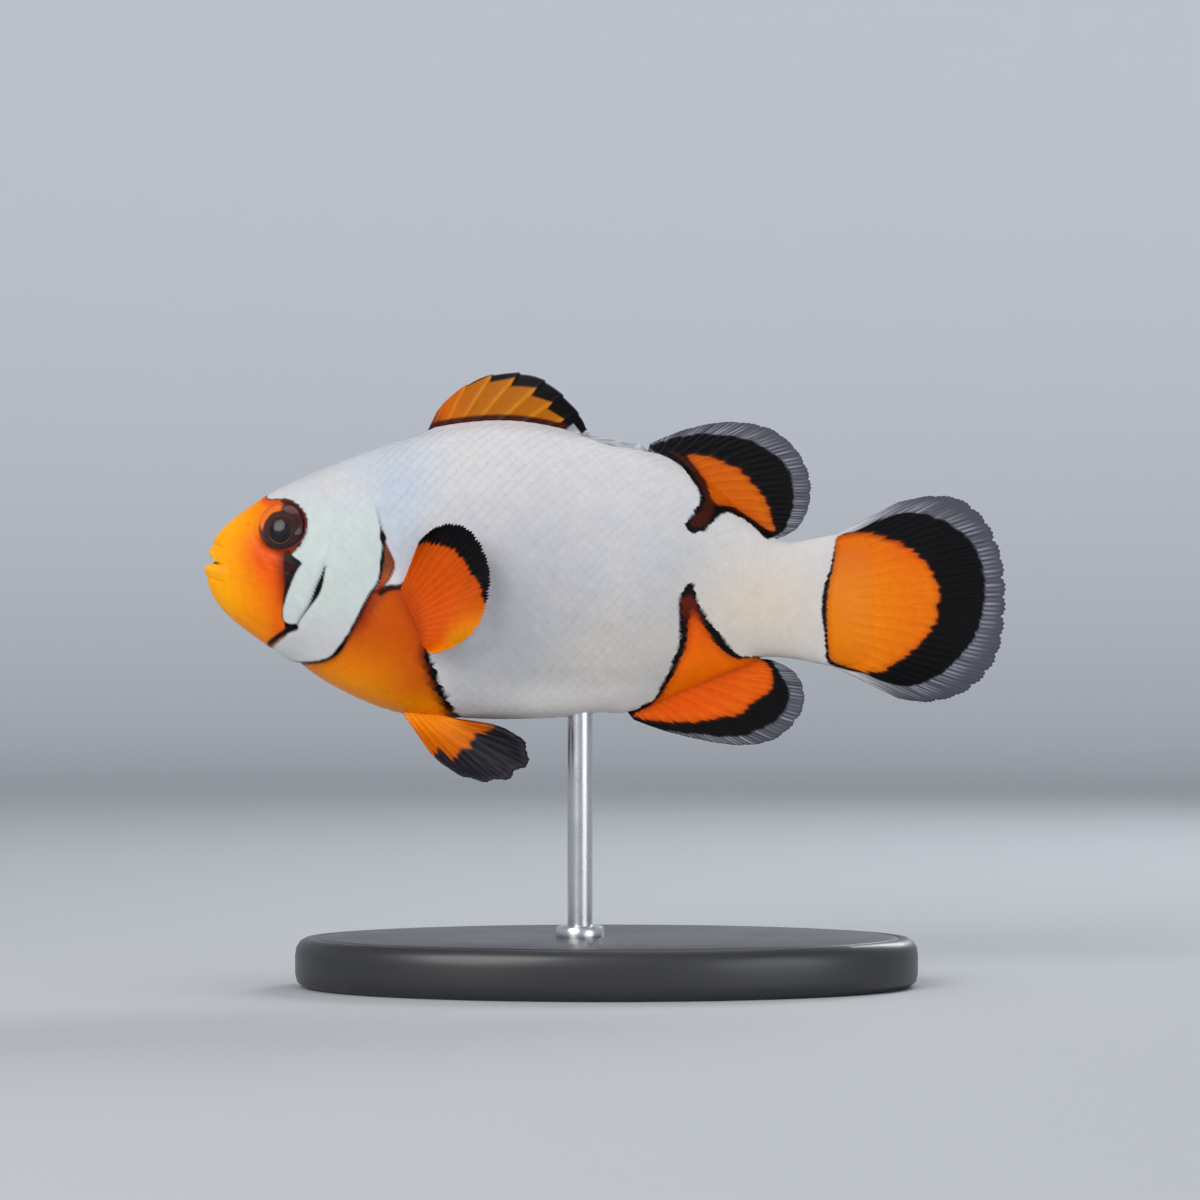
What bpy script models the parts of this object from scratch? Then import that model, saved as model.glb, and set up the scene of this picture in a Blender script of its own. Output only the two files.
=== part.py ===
"""A life-size display model of a clownfish on a plain stand.

The fish swims towards -X with its long axis level, +Z is up, and the origin is on the surface under
the middle of the base. Shapes on the fish are given as shares of its total length: x is the percent
from the snout, z the percent above the long axis.
"""

import math

import bmesh
import bpy
import numpy as np

# Driving dimensions, in metres
TOTAL_LENGTH = 0.080
AXIS_HEIGHT = 0.040
GAP = 0.0003

PERCENT = TOTAL_LENGTH / 100
SNOUT_X = -TOTAL_LENGTH / 2

# Body stations in percent: x, back, belly, half width
BODY = [
    (0.0, 2.4, 2.4, 0.0),
    (0.3, 4.4, 0.4, 1.1),
    (1.2, 5.9, -1.8, 2.0),
    (3.1, 8.0, -4.1, 3.3),
    (6.8, 10.7, -7.0, 5.0),
    (10.6, 12.8, -9.5, 6.2),
    (16.2, 15.2, -12.9, 7.6),
    (23.7, 18.0, -15.9, 8.6),
    (31.1, 19.8, -16.6, 8.8),
    (38.6, 20.2, -16.8, 8.5),
    (46.1, 18.9, -16.4, 7.7),
    (54.2, 17.0, -14.9, 6.4),
    (61.6, 13.3, -11.8, 4.9),
    (67.9, 7.9, -9.4, 3.6),
    (72.2, 5.5, -9.2, 2.9),
    (77.8, 6.3, -10.2, 2.0),
]
SECTION_POWER = 2.15  # 2 is an ellipse, more is fuller at the flanks
RINGS_PER_STATION = 3
POINTS_AROUND = 26

# Cuts between the body's named pieces, in percent
HEAD_REAR = [(23.0, 22), (23.0, 9), (23.2, 4), (22.9, 0.5), (21.4, -3.3), (19.2, -6.4), (16.6, -8.8),
             (13.5, -10.2), (8.5, -12.0)]
HEAD_FRONT = [(-3, -12.0), (-3, 22)]
JAW = [(-3, 3.1), (1.4, 2.9), (3.4, 1.2), (5.4, -2.6), (6.8, -9), (-3, -9)]
GILL_FRONT = [(17.6, 9.6), (15.9, 6.0), (15.2, 2.5), (14.2, -0.8), (12.6, -4.2), (12.2, -6.6), (14.5, -8.5)]
GILL_REAR = [(20, -10), (26, -6), (26, 9.4)]
GILL_THICKNESS = 0.0010
GILL_STATIONS = (3, 9)  # the stretch of the body that the gill covers lie on
HEAD_STATION, JAW_STATION = 7.6, 6  # where the lofts for the head and the jaw may end
TRUNK_STATION = 3
TAIL_STALK_STATION = 12.6
CUT_REACH = TOTAL_LENGTH / 5

# Eye: the middle of the ball in percent, its size across and through in metres, and how it is turned
EYE_X, EYE_Z = 9.6, 7.1
EYE_RADIUS = 0.0026
EYE_HALF_DEPTH = 0.0017
EYE_SINK = 0.0006
EYE_UP = math.radians(18)
EYE_FORWARD = math.radians(10)

# Fins: where the rays start on the body and where they end, in percent, with the number of rays
SPINY_DORSAL = {
    "along": "back",
    "from": 27.5,
    "to": 54.8,
    "edge": [(29.3, 22.7), (31.0, 24.3), (33.6, 25.7), (37.0, 26.5), (40.8, 26.1), (44.4, 24.3),
             (47.0, 21.3), (48.6, 19.2), (51.2, 18.2), (55.0, 17.5)],
    "rays": 10,
    "notch": 0.10,
}
SOFT_DORSAL = {
    "along": "back",
    "from": 55.6,
    "to": 70.4,
    "edge": [(61.0, 19.6), (66.6, 20.3), (70.4, 19.4), (72.9, 17.7), (74.5, 15.6), (75.5, 12.5),
             (75.1, 9.3), (73.7, 6.9), (72.1, 6.1)],
    "rays": 15,
    "notch": 0.02,
}
ANAL = {
    "along": "belly",
    "from": 50.2,
    "to": 67.4,
    "edge": [(54.8, -17.9), (59.0, -19.1), (65.0, -19.8), (69.0, -19.6), (72.2, -18.1), (74.2, -15.2),
             (74.3, -12.2), (72.8, -10.5), (70.6, -10.0)],
    "rays": 14,
    "notch": 0.02,
}
TAIL = {
    "base": [(78.2, 6.0), (78.2, -1.9), (78.2, -9.8)],
    "edge": [(86.6, 10.4), (91.0, 11.2), (94.8, 10.5), (98.0, 7.3), (99.7, 2.0), (99.7, -4.5), (98.4, -9.6),
             (95.2, -13.1), (90.6, -14.6), (86.6, -14.2)],
    "rays": 15,
    "notch": 0.012,
}
PECTORAL = {
    "base": [(24.8, -0.9), (25.5, -4.2), (27.1, -7.3)],
    "edge": [(27.3, 5.6), (29.0, 6.8), (31.1, 7.3), (33.3, 6.7), (35.0, 4.6), (35.9, 1.2), (35.6, -1.9),
             (34.4, -5.0), (32.5, -7.0), (30.0, -8.1), (28.5, -8.4)],
    "rays": 12,
    "notch": 0.02,
}
PELVIC = {
    "base": [(24.9, -16.5), (28.0, -17.0)],
    "edge": [(28.7, -21.1), (30.8, -22.9), (33.4, -24.1), (36.1, -24.4), (38.6, -23.8), (40.2, -22.4),
             (40.4, -20.5), (38.7, -18.7), (35.8, -17.8)],
    "rays": 6,
    "notch": 0.03,
}
RAY_THICKNESS = 0.0008
WEB_THICKNESS = 0.00055
TAIL_ROOT_THICKNESS = 0.0024
ROOT_REACH = 0.35  # how far along the rays the thick root fades
SIDE_FIN_LENGTH = 0.0088  # from root to edge, for the pectoral and pelvic fins' lean
PECTORAL_SPREAD = math.radians(24)
PELVIC_SPREAD = math.radians(16)
PELVIC_START_Y = 0.0013
TAIL_BEND = 0.0016  # how far the tail fin's edge sways to the fish's right
FIN_WAVE = 0.0004
FIN_CLEARANCE = 0.00035  # between a fin's root and the body

# Stand, in metres
BASE_LENGTH, BASE_WIDTH, BASE_THICKNESS = 0.062, 0.036, 0.005
BASE_BEVEL = 0.0009
ROD_RADIUS = 0.00125
ROD_X = SNOUT_X + 46.7 * PERCENT
ROD_IN_BASE, ROD_IN_BODY = 0.003, 0.004

COLOURS = {
    "skin_white": (0.80, 0.82, 0.84),
    "skin_orange": (0.90, 0.30, 0.02),
    "fin_orange": (0.88, 0.33, 0.03),
    "eye": (0.05, 0.02, 0.02),
    "stand_dark": (0.03, 0.03, 0.035),
    "stand_steel": (0.62, 0.62, 0.64),
}
FINISHES = {  # roughness, metallic
    "skin_white": (0.4, 0.0),
    "skin_orange": (0.4, 0.0),
    "fin_orange": (0.45, 0.0),
    "eye": (0.08, 0.0),
    "stand_dark": (0.35, 0.0),
    "stand_steel": (0.3, 1.0),
}


def start_empty():
    """Clears the scene and makes the collections for the model and for its cutters."""
    for leftover in list(bpy.data.objects):
        bpy.data.objects.remove(leftover)
    made = []
    for name in ("clownfish_model", "cutters"):
        collection = bpy.data.collections.new(name)
        bpy.context.scene.collection.children.link(collection)
        made.append(collection)
    return made


def material(name):
    if name in bpy.data.materials:
        return bpy.data.materials[name]
    made = bpy.data.materials.new(name)
    made.use_nodes = True
    shader = made.node_tree.nodes["Principled BSDF"]
    roughness, metallic = FINISHES[name]
    shader.inputs["Base Color"].default_value = (*COLOURS[name], 1)
    shader.inputs["Roughness"].default_value = roughness
    shader.inputs["Metallic"].default_value = metallic
    return made


def through(values, at):
    """A smooth curve through equally spaced values, read at positions from 0 to the last one's number."""
    values = np.asarray(values, float)
    at = np.asarray(at, float)
    last = len(values) - 1
    i = np.clip(np.floor(at).astype(int), 0, last - 1)
    t = (at - i).reshape(at.shape + (1,) * (values.ndim - 1))
    slopes = np.gradient(values, axis=0)
    a, b = values[i], values[i + 1]
    p, q = slopes[i], slopes[i + 1]
    return a + t * (p + t * (3 * (b - a) - 2 * p - q + t * (2 * (a - b) + p + q)))


def evenly(points, count):
    """count places along the smooth curve through points, an equal distance apart."""
    fine = through(points, np.linspace(0, len(points) - 1, 400))
    run = np.concatenate([[0], np.cumsum(np.linalg.norm(np.diff(fine, axis=0), axis=1))])
    return np.stack([np.interp(np.linspace(0, run[-1], count), run, column) for column in fine.T], axis=1)


def world_x(percent):
    return SNOUT_X + percent * PERCENT


def world_z(percent):
    return AXIS_HEIGHT + percent * PERCENT


def section(station, inset=0.0):
    """x, middle height, half height and half width of the body at a station, in metres."""
    x, back, belly, half = through(BODY, station) * PERCENT
    return SNOUT_X + x, AXIS_HEIGHT + (back + belly) / 2, (back - belly) / 2 - inset, half - inset


def station_at(x_percent):
    stations = np.linspace(0, len(BODY) - 1, 600)
    return np.interp(x_percent, through(BODY, stations)[:, 0], stations)


def half_width_at(x_percent, z_percent):
    """The body's half width at a point of its side view, in metres."""
    _, middle, tall, wide = section(station_at(x_percent))
    share = min(1.0, abs(world_z(z_percent) - middle) / tall)
    return wide * (1 - share**SECTION_POWER) ** (1 / SECTION_POWER)


def link(name, mesh, collection, finish=None):
    made = bpy.data.objects.new(name, mesh)
    collection.objects.link(made)
    if finish:
        mesh.materials.clear()
        mesh.materials.append(material(finish))
        mesh.shade_smooth()
        mesh.set_sharp_from_angle(angle=math.radians(40))
    else:
        made.hide_render = True
        made.display_type = "WIRE"
    return made


def ring_of(bm, station, inset):
    x, middle, tall, wide = section(station, inset)
    power = 2 / SECTION_POWER
    ring = []
    for turn in np.linspace(0, 2 * math.pi, POINTS_AROUND, endpoint=False):
        y = math.copysign(abs(math.sin(turn)) ** power, math.sin(turn))
        z = math.copysign(abs(math.cos(turn)) ** power, math.cos(turn))
        ring.append(bm.verts.new((x, wide * y, middle + tall * z)))
    return ring


def body_mesh(name, first, last, inset=0.0):
    """The body's loft between two stations, closed at both ends, with a pointed tip at station 0."""
    bm = bmesh.new()
    count = max(2, round((last - first) * RINGS_PER_STATION) + 1)
    stations = [s for s in np.linspace(first, last, count) if s > 0]
    rings = [ring_of(bm, s, inset) for s in stations]
    for a, b in zip(rings, rings[1:]):
        for i in range(POINTS_AROUND):
            j = (i + 1) % POINTS_AROUND
            bm.faces.new((a[i], a[j], b[j], b[i]))
    if first == 0:
        x, middle, _, _ = section(0)
        tip = bm.verts.new((x, 0, middle))
        for i in range(POINTS_AROUND):
            bm.faces.new((tip, rings[0][(i + 1) % POINTS_AROUND], rings[0][i]))
    else:
        bm.faces.new(reversed(rings[0]))
    bm.faces.new(rings[-1])
    bmesh.ops.recalc_face_normals(bm, faces=bm.faces)
    mesh = bpy.data.meshes.new(name)
    bm.to_mesh(mesh)
    bm.free()
    return mesh


def grown(outline, by):
    """A closed outline in metres, moved out by a distance along its own normals."""
    if not by:
        return outline
    along = np.roll(outline, -1, axis=0) - np.roll(outline, 1, axis=0)
    normal = np.stack([along[:, 1], -along[:, 0]], axis=1)
    normal /= np.linalg.norm(normal, axis=1, keepdims=True)
    area = np.sum(outline[:, 0] * np.roll(outline[:, 1], -1) - np.roll(outline[:, 0], -1) * outline[:, 1])
    return outline + math.copysign(by, area) * normal


def prism(name, outline, collection, side=0, grow=0.0):
    """A cutter: a side-view outline in percent, carried through both sides of the body, or one."""
    flat = grown(np.array([(world_x(x), world_z(z)) for x, z in outline]), grow)
    curve = bpy.data.curves.new(name, "CURVE")
    curve.dimensions = "2D"
    curve.fill_mode = "BOTH"
    curve.extrude = CUT_REACH / 2 if side else CUT_REACH
    line = curve.splines.new("POLY")
    line.points.add(len(flat) - 1)
    for point, (x, z) in zip(line.points, flat):
        point.co = (x, z, 0, 1)
    line.use_cyclic_u = True
    guide = bpy.data.objects.new(name, curve)
    guide.rotation_euler = (math.pi / 2, 0, 0)
    guide.location = (0, side * CUT_REACH / 2, 0)
    collection.objects.link(guide)
    bpy.context.view_layer.update()
    evaluated = guide.evaluated_get(bpy.context.evaluated_depsgraph_get())
    mesh = bpy.data.meshes.new_from_object(evaluated)
    place = guide.matrix_world.copy()
    bpy.data.objects.remove(guide)
    bm = bmesh.new()
    bm.from_mesh(mesh)
    bmesh.ops.remove_doubles(bm, verts=bm.verts, dist=1e-6)
    bmesh.ops.recalc_face_normals(bm, faces=bm.faces)
    bm.to_mesh(mesh)
    bm.free()
    made = link(name, mesh, collection)
    made.matrix_world = place
    return made


def boolean(piece, operation, cutter):
    modifier = piece.modifiers.new(f"{operation.lower()} {cutter.name}", "BOOLEAN")
    modifier.operation = operation
    modifier.object = cutter


def rounded(points, count):
    """The smooth curve through a few points, as a list of that many."""
    return [tuple(p) for p in evenly(points, count)]


def head_outline():
    return rounded(HEAD_REAR, 26) + HEAD_FRONT


def eyeball_mesh(name, grow):
    bm = bmesh.new()
    bmesh.ops.create_uvsphere(bm, u_segments=18, v_segments=10, radius=1)
    mesh = bpy.data.meshes.new(name)
    for vert in bm.verts:  # the ball's poles face out of the head
        x, y, z = vert.co
        vert.co = (x * (EYE_RADIUS + grow), z * (EYE_HALF_DEPTH + grow), -y * (EYE_RADIUS + grow))
    bm.to_mesh(mesh)
    bm.free()
    return mesh


def place_eye(eye, side):
    """side is -1 on the fish's left and 1 on its right."""
    depth = half_width_at(EYE_X, EYE_Z) - EYE_SINK
    eye.location = (world_x(EYE_X), side * depth, world_z(EYE_Z))
    eye.rotation_euler = (side * EYE_UP, 0, side * EYE_FORWARD)


def make_head(parts, cutters):
    gill_outline = rounded(GILL_FRONT, 14) + GILL_REAR
    head_block = prism("cut_head", head_outline(), cutters)
    jaw_block = prism("cut_jaw", JAW, cutters)
    jaw_room = prism("cut_jaw_room", JAW, cutters, grow=GAP)
    core = link("cut_gill_core", body_mesh("cut_gill_core", *GILL_STATIONS, GILL_THICKNESS), cutters)
    room_mesh = body_mesh("cut_gill_core_room", *GILL_STATIONS, GILL_THICKNESS + GAP)
    core_room = link("cut_gill_core_room", room_mesh, cutters)
    gill_room = prism("cut_gill_room", gill_outline, cutters, grow=GAP)
    boolean(gill_room, "DIFFERENCE", core_room)

    head = link("head", body_mesh("head", 0, HEAD_STATION), parts, "skin_orange")
    boolean(head, "INTERSECT", head_block)
    boolean(head, "DIFFERENCE", jaw_room)
    boolean(head, "DIFFERENCE", gill_room)
    for side, word in ((-1, "left"), (1, "right")):
        socket = link(f"cut_eye_{word}", eyeball_mesh(f"cut_eye_{word}", GAP), cutters)
        place_eye(socket, side)
        boolean(head, "DIFFERENCE", socket)
        eye = link(f"eye_{word}", eyeball_mesh(f"eye_{word}", 0), parts, "eye")
        place_eye(eye, side)
        gill_block = prism(f"cut_gill_{word}", gill_outline, cutters, side)
        gill_mesh = body_mesh(f"gill_cover_{word}", 0, HEAD_STATION)
        gill = link(f"gill_cover_{word}", gill_mesh, parts, "skin_white")
        boolean(gill, "INTERSECT", head_block)
        boolean(gill, "INTERSECT", gill_block)
        boolean(gill, "DIFFERENCE", core)

    jaw = link("lower_jaw", body_mesh("lower_jaw", 0, JAW_STATION), parts, "skin_orange")
    boolean(jaw, "INTERSECT", jaw_block)


def make_trunk(parts, cutters, rod_top):
    head_room = prism("cut_head_room", head_outline(), cutters, grow=GAP)
    trunk = link("trunk", body_mesh("trunk", TRUNK_STATION, TAIL_STALK_STATION), parts, "skin_white")
    boolean(trunk, "DIFFERENCE", head_room)
    socket_bottom = rod_top - 3 * ROD_IN_BODY
    socket = rod_cylinder("cut_rod_room", ROD_RADIUS + GAP, socket_bottom, rod_top + GAP, cutters)
    boolean(trunk, "DIFFERENCE", socket)
    gap_in_stations = GAP / (section(TAIL_STALK_STATION + 1)[0] - section(TAIL_STALK_STATION)[0])
    stalk_mesh = body_mesh("tail_stalk", TAIL_STALK_STATION + gap_in_stations, len(BODY) - 1)
    link("tail_stalk", stalk_mesh, parts, "skin_white")


def outline_at(x_percent):
    """The back's and the belly's heights in percent at a distance from the snout."""
    _, back, belly, _ = through(BODY, station_at(x_percent)).T
    return back, belly


def root_line(shape, count):
    """Where a fin's rays start, in percent: a drawn line, or the back or belly at a small clearance."""
    if "base" in shape:
        return evenly(shape["base"], count)
    x = np.linspace(shape["from"], shape["to"], count)
    back, belly = outline_at(x)
    z, out = (back, 1) if shape["along"] == "back" else (belly, -1)
    slope = np.gradient(z, x)
    return np.stack([x, z + out * FIN_CLEARANCE / PERCENT * np.hypot(1, slope)], axis=1)


def fin(name, shape, parts, sway, rows=5, root_thickness=RAY_THICKNESS):
    """A fan of rays with web between.

    sway(x, z, u, v) gives y, with u across the rays and v along them.
    """
    columns = 2 * shape["rays"]
    base = root_line(shape, columns + 1)
    edge = evenly(shape["edge"], columns + 1)
    bm = bmesh.new()
    bmesh.ops.create_grid(bm, x_segments=columns, y_segments=rows, size=0.5)
    mesh = bpy.data.meshes.new(name)
    weights = []
    for vert in bm.verts:
        column = round((vert.co.x + 0.5) * columns)
        u, v = column / columns, vert.co.y + 0.5
        web = column % 2 == 0 and 0 < column < columns
        reach = v * (1 - shape["notch"] * web)
        flat = base[column] + (edge[column] - base[column]) * reach
        x, z = world_x(flat[0]), world_z(flat[1])
        vert.co = (x, sway(flat[0], flat[1], u, v), z)
        thin = WEB_THICKNESS if web else RAY_THICKNESS
        root = max(0.0, 1 - v / ROOT_REACH) ** 2
        weights.append((thin + max(0.0, root_thickness - thin) * root) / root_thickness)
    bm.to_mesh(mesh)
    bm.free()
    made = link(name, mesh, parts, "fin_orange")
    group = made.vertex_groups.new(name="thickness")
    for i, weight in enumerate(weights):
        group.add([i], min(1.0, weight), "REPLACE")
    solid = made.modifiers.new("fin thickness", "SOLIDIFY")
    solid.thickness = root_thickness
    solid.offset = 0
    solid.vertex_group = group.name
    return made


def wave(amount, waves):
    return lambda x, z, u, v: amount * v * math.sin(waves * math.pi * u)


def tail_sway(x, z, u, v):
    return TAIL_BEND * v**1.5 + 2 * FIN_WAVE * v * math.sin(2.2 * math.pi * u)


def side_sway(side, start, spread, wave_size):
    """Rays that start on the flank and lean out from it by an angle."""

    def sway(x, z, u, v):
        lean = v * math.tan(spread) * SIDE_FIN_LENGTH
        return side * (start(u) + lean + wave_size * v * math.sin(3 * math.pi * u))

    return sway


def make_fins(parts):
    fin("dorsal_fin_spiny", SPINY_DORSAL, parts, wave(FIN_WAVE, 3), rows=4)
    fin("dorsal_fin_soft", SOFT_DORSAL, parts, wave(FIN_WAVE, 2))
    fin("anal_fin", ANAL, parts, wave(-FIN_WAVE, 2))
    fin("tail_fin", TAIL, parts, tail_sway, rows=6, root_thickness=TAIL_ROOT_THICKNESS)

    def pectoral_root(u):
        x, z = root_line(PECTORAL, 21)[round(u * 20)]
        return half_width_at(x, z) + GAP + RAY_THICKNESS

    for side, word in ((-1, "left"), (1, "right")):
        sway = side_sway(side, pectoral_root, PECTORAL_SPREAD, FIN_WAVE)
        fin(f"pectoral_fin_{word}", PECTORAL, parts, sway, rows=4)
        sway = side_sway(side, lambda u: PELVIC_START_Y, PELVIC_SPREAD, FIN_WAVE)
        fin(f"pelvic_fin_{word}", PELVIC, parts, sway)


def rod_cylinder(name, radius, z_from, z_to, collection, finish=None):
    bm = bmesh.new()
    tall = z_to - z_from
    bmesh.ops.create_cone(bm, cap_ends=True, segments=24, radius1=radius, radius2=radius, depth=tall)
    mesh = bpy.data.meshes.new(name)
    bm.to_mesh(mesh)
    bm.free()
    made = link(name, mesh, collection, finish)
    made.location = (ROD_X, 0, (z_from + z_to) / 2)
    return made


def make_stand(parts, cutters, rod_top):
    bm = bmesh.new()
    bmesh.ops.create_cone(bm, cap_ends=True, segments=56, radius1=0.5, radius2=0.5, depth=1)
    for vert in bm.verts:
        vert.co = (vert.co.x * BASE_LENGTH, vert.co.y * BASE_WIDTH, (vert.co.z + 0.5) * BASE_THICKNESS)
    mesh = bpy.data.meshes.new("stand_base")
    bm.to_mesh(mesh)
    bm.free()
    base = link("stand_base", mesh, parts, "stand_dark")
    edge = base.modifiers.new("eased edge", "BEVEL")
    edge.width = BASE_BEVEL
    edge.segments = 2
    rod_bottom = BASE_THICKNESS - ROD_IN_BASE
    room = rod_cylinder("cut_base_room", ROD_RADIUS + GAP, rod_bottom - GAP, 2 * BASE_THICKNESS, cutters)
    boolean(base, "DIFFERENCE", room)
    rod_cylinder("stand_rod", ROD_RADIUS, rod_bottom, rod_top, parts, "stand_steel")


def main():
    parts, cutters = start_empty()
    _, middle, tall, _ = section(station_at((ROD_X - SNOUT_X) / PERCENT))
    rod_top = middle - tall + ROD_IN_BODY
    make_head(parts, cutters)
    make_trunk(parts, cutters, rod_top)
    make_fins(parts)
    make_stand(parts, cutters, rod_top)


main()
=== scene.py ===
# A life-size clownfish on a display stand: its skin, scales, fins, eyes, stand, light and camera.
# Places on the fish are in percent of its length: x from the snout, z above the long axis,
# y to the fish's right. The helper inMetres turns them into the frame's own metres.
import math

import bpy
import numpy as np
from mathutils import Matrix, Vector


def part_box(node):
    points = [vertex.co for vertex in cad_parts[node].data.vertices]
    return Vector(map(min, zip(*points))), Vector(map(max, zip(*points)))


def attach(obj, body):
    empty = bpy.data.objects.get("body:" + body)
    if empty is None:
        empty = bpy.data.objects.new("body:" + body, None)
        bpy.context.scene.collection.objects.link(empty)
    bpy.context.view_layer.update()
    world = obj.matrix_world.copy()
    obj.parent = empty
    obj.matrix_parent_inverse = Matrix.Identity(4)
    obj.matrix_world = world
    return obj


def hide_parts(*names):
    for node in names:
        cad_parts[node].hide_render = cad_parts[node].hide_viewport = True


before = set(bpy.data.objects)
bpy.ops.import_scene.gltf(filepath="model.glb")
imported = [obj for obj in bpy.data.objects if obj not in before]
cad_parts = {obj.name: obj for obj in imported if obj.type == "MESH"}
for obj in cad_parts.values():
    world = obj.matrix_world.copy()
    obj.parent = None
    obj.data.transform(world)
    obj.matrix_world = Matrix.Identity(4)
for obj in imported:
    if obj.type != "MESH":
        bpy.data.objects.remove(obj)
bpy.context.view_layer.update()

fish = {
    "percent": 0.0008,  # metres in one percent of the length
    "axisHeight": 0.040,
    "roundness": 2.15,  # of a section: 2 is an ellipse, more is fuller
    "coatDepth": 0.14,  # how far the skin lies inside the solids
    # x, back, belly, half width; the last three taper away inside the tail fin
    "stations": [
        (0.0, 1.9, 1.9, 0.0), (0.35, 4.3, 0.3, 1.1), (1.2, 5.9, -1.8, 2.0), (3.1, 8.0, -4.1, 3.3),
        (6.8, 10.7, -7.0, 5.0), (10.6, 12.8, -9.5, 6.2), (16.2, 15.2, -12.9, 7.6), (23.7, 18.0, -15.9, 8.6),
        (31.1, 19.8, -16.6, 8.8), (38.6, 20.2, -16.8, 8.5), (46.1, 18.9, -16.4, 7.7),
        (54.2, 17.0, -14.9, 6.4), (61.6, 13.3, -11.8, 4.9), (67.9, 7.9, -9.4, 3.6), (72.2, 5.5, -9.2, 2.9),
        (77.8, 6.3, -10.2, 2.0), (80.6, 6.5, -10.4, 1.15), (83.2, 6.2, -10.1, 0.42), (86.0, 5.6, -9.5, 0.1),
    ],
}
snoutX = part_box("lower_jaw")[0].x
stations = np.array(fish["stations"])
lastStation = len(stations) - 1


# Small shared sums
def mix(a, b, share):
    return a + (b - a) * share


def ramp(low, high, x):
    t = np.clip((x - low) / (high - low), 0, 1)
    return t * t * (3 - 2 * t)


def hump(x, width):
    return np.exp(-((x / width) ** 2))


def blot(flat, middle, size, squeeze=(1, 1)):
    # a soft oval spot: 1 at its middle
    away = (flat - middle) * squeeze
    return hump(np.hypot(away[:, 0], away[:, 1]), size)


def runOf(points):
    # how far along a line each of its points lies
    return np.concatenate([[0], np.cumsum(np.linalg.norm(np.diff(points, axis=0), axis=1))])


def unit(vectors, least=1e-12):
    return vectors / np.maximum(np.linalg.norm(vectors, axis=-1, keepdims=True), least)


def gridOf(rows, columns):
    # every pairing of two lists of values, row by row
    return [grid.ravel() for grid in np.meshgrid(rows, columns, indexing="ij")]


def fullTurn(count):
    return np.linspace(0, 2 * math.pi, count, endpoint=False)


def through(values, at):
    # a smooth curve through equally spaced values
    values = np.asarray(values, float)
    at = np.asarray(at, float)
    i = np.clip(np.floor(at).astype(int), 0, len(values) - 2)
    t = (at - i).reshape(at.shape + (1,) * (values.ndim - 1))
    slopes = np.gradient(values, axis=0)
    a, b, p, q = values[i], values[i + 1], slopes[i], slopes[i + 1]
    return a + t * (p + t * (3 * (b - a) - 2 * p - q + t * (2 * (a - b) + p + q)))


def evenly(points, shares):
    # places along the smooth curve through points, at shares of its length
    fine = through(points, np.linspace(0, len(points) - 1, 800))
    run = runOf(fine)
    return np.stack([np.interp(np.asarray(shares) * run[-1], run, column) for column in fine.T], axis=1)


def smoothLine(points):
    return evenly(points, np.linspace(0, 1, 5 * len(points)))


def smoothLoop(points):
    around = np.array(points[-2:] + points + points[:2], float)
    return through(around, np.linspace(2, len(points) + 2, 6 * len(points) + 1))


def ripple(flat, size, seed):
    # soft unevenness from -1 to 1, with lumps of about this size
    random = np.random.default_rng(seed)
    total = np.zeros(len(flat))
    for _ in range(7):
        angle, phase = random.uniform(0, 2 * math.pi, 2)
        wave = 2 * math.pi / (size * random.uniform(0.7, 1.6))
        total += np.sin((flat[:, 0] * math.cos(angle) + flat[:, 1] * math.sin(angle)) * wave + phase)
    return total / 3.2


def uneven(u, count, seed, low, high):
    # a chance value at each of evenly spaced places, and between them in proportion
    values = np.random.default_rng(seed).uniform(low, high, count + 1)
    return np.interp(u * count, np.arange(count + 1), values)


def toLine(flat, line):
    # distance to an open line, the share of the line where it is nearest, and on which side (1 or -1)
    legs = np.diff(line, axis=0)
    lengths = np.linalg.norm(legs, axis=1)
    run = runOf(line)
    best = np.full(len(flat), 1e9)
    share = np.zeros(len(flat))
    side = np.ones(len(flat))
    for start, leg, length, before in zip(line, legs, lengths, run):
        away = flat - start
        t = np.clip(away @ leg / length**2, 0, 1)
        off = np.hypot(away[:, 0] - t * leg[0], away[:, 1] - t * leg[1])
        closer = off < best
        best = np.where(closer, off, best)
        share = np.where(closer, (before + t * length) / run[-1], share)
        side = np.where(closer, np.sign(leg[0] * away[:, 1] - leg[1] * away[:, 0]), side)
    return best, share, side


def inside(flat, loop, margin=2.5):
    # how far in a closed outline a place lies, and below 0 how far outside
    depth = np.full(len(flat), -margin)
    near = ((flat > loop.min(axis=0) - margin) & (flat < loop.max(axis=0) + margin)).all(axis=1)
    part = flat[near]
    if not len(part):
        return depth
    odd = np.zeros(len(part), bool)
    for (x1, z1), (x2, z2) in zip(loop, loop[1:]):
        level = (z1 > part[:, 1]) != (z2 > part[:, 1])
        if z1 != z2:
            odd ^= level & (part[:, 0] < (x2 - x1) * (part[:, 1] - z1) / (z2 - z1) + x1)
    distance = np.minimum(toLine(part, loop)[0], margin)
    depth[near] = np.where(odd, distance, -distance)
    return depth


def inMetres(points):
    return np.asarray(points) * fish["percent"] + np.array([snoutX, 0, fish["axisHeight"]])


# The body's form
fineStations = np.linspace(0, lastStation, 4000)
fineX = through(stations[:, 0], fineStations)


def stationAt(x):
    return np.interp(x, fineX, fineStations)


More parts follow.
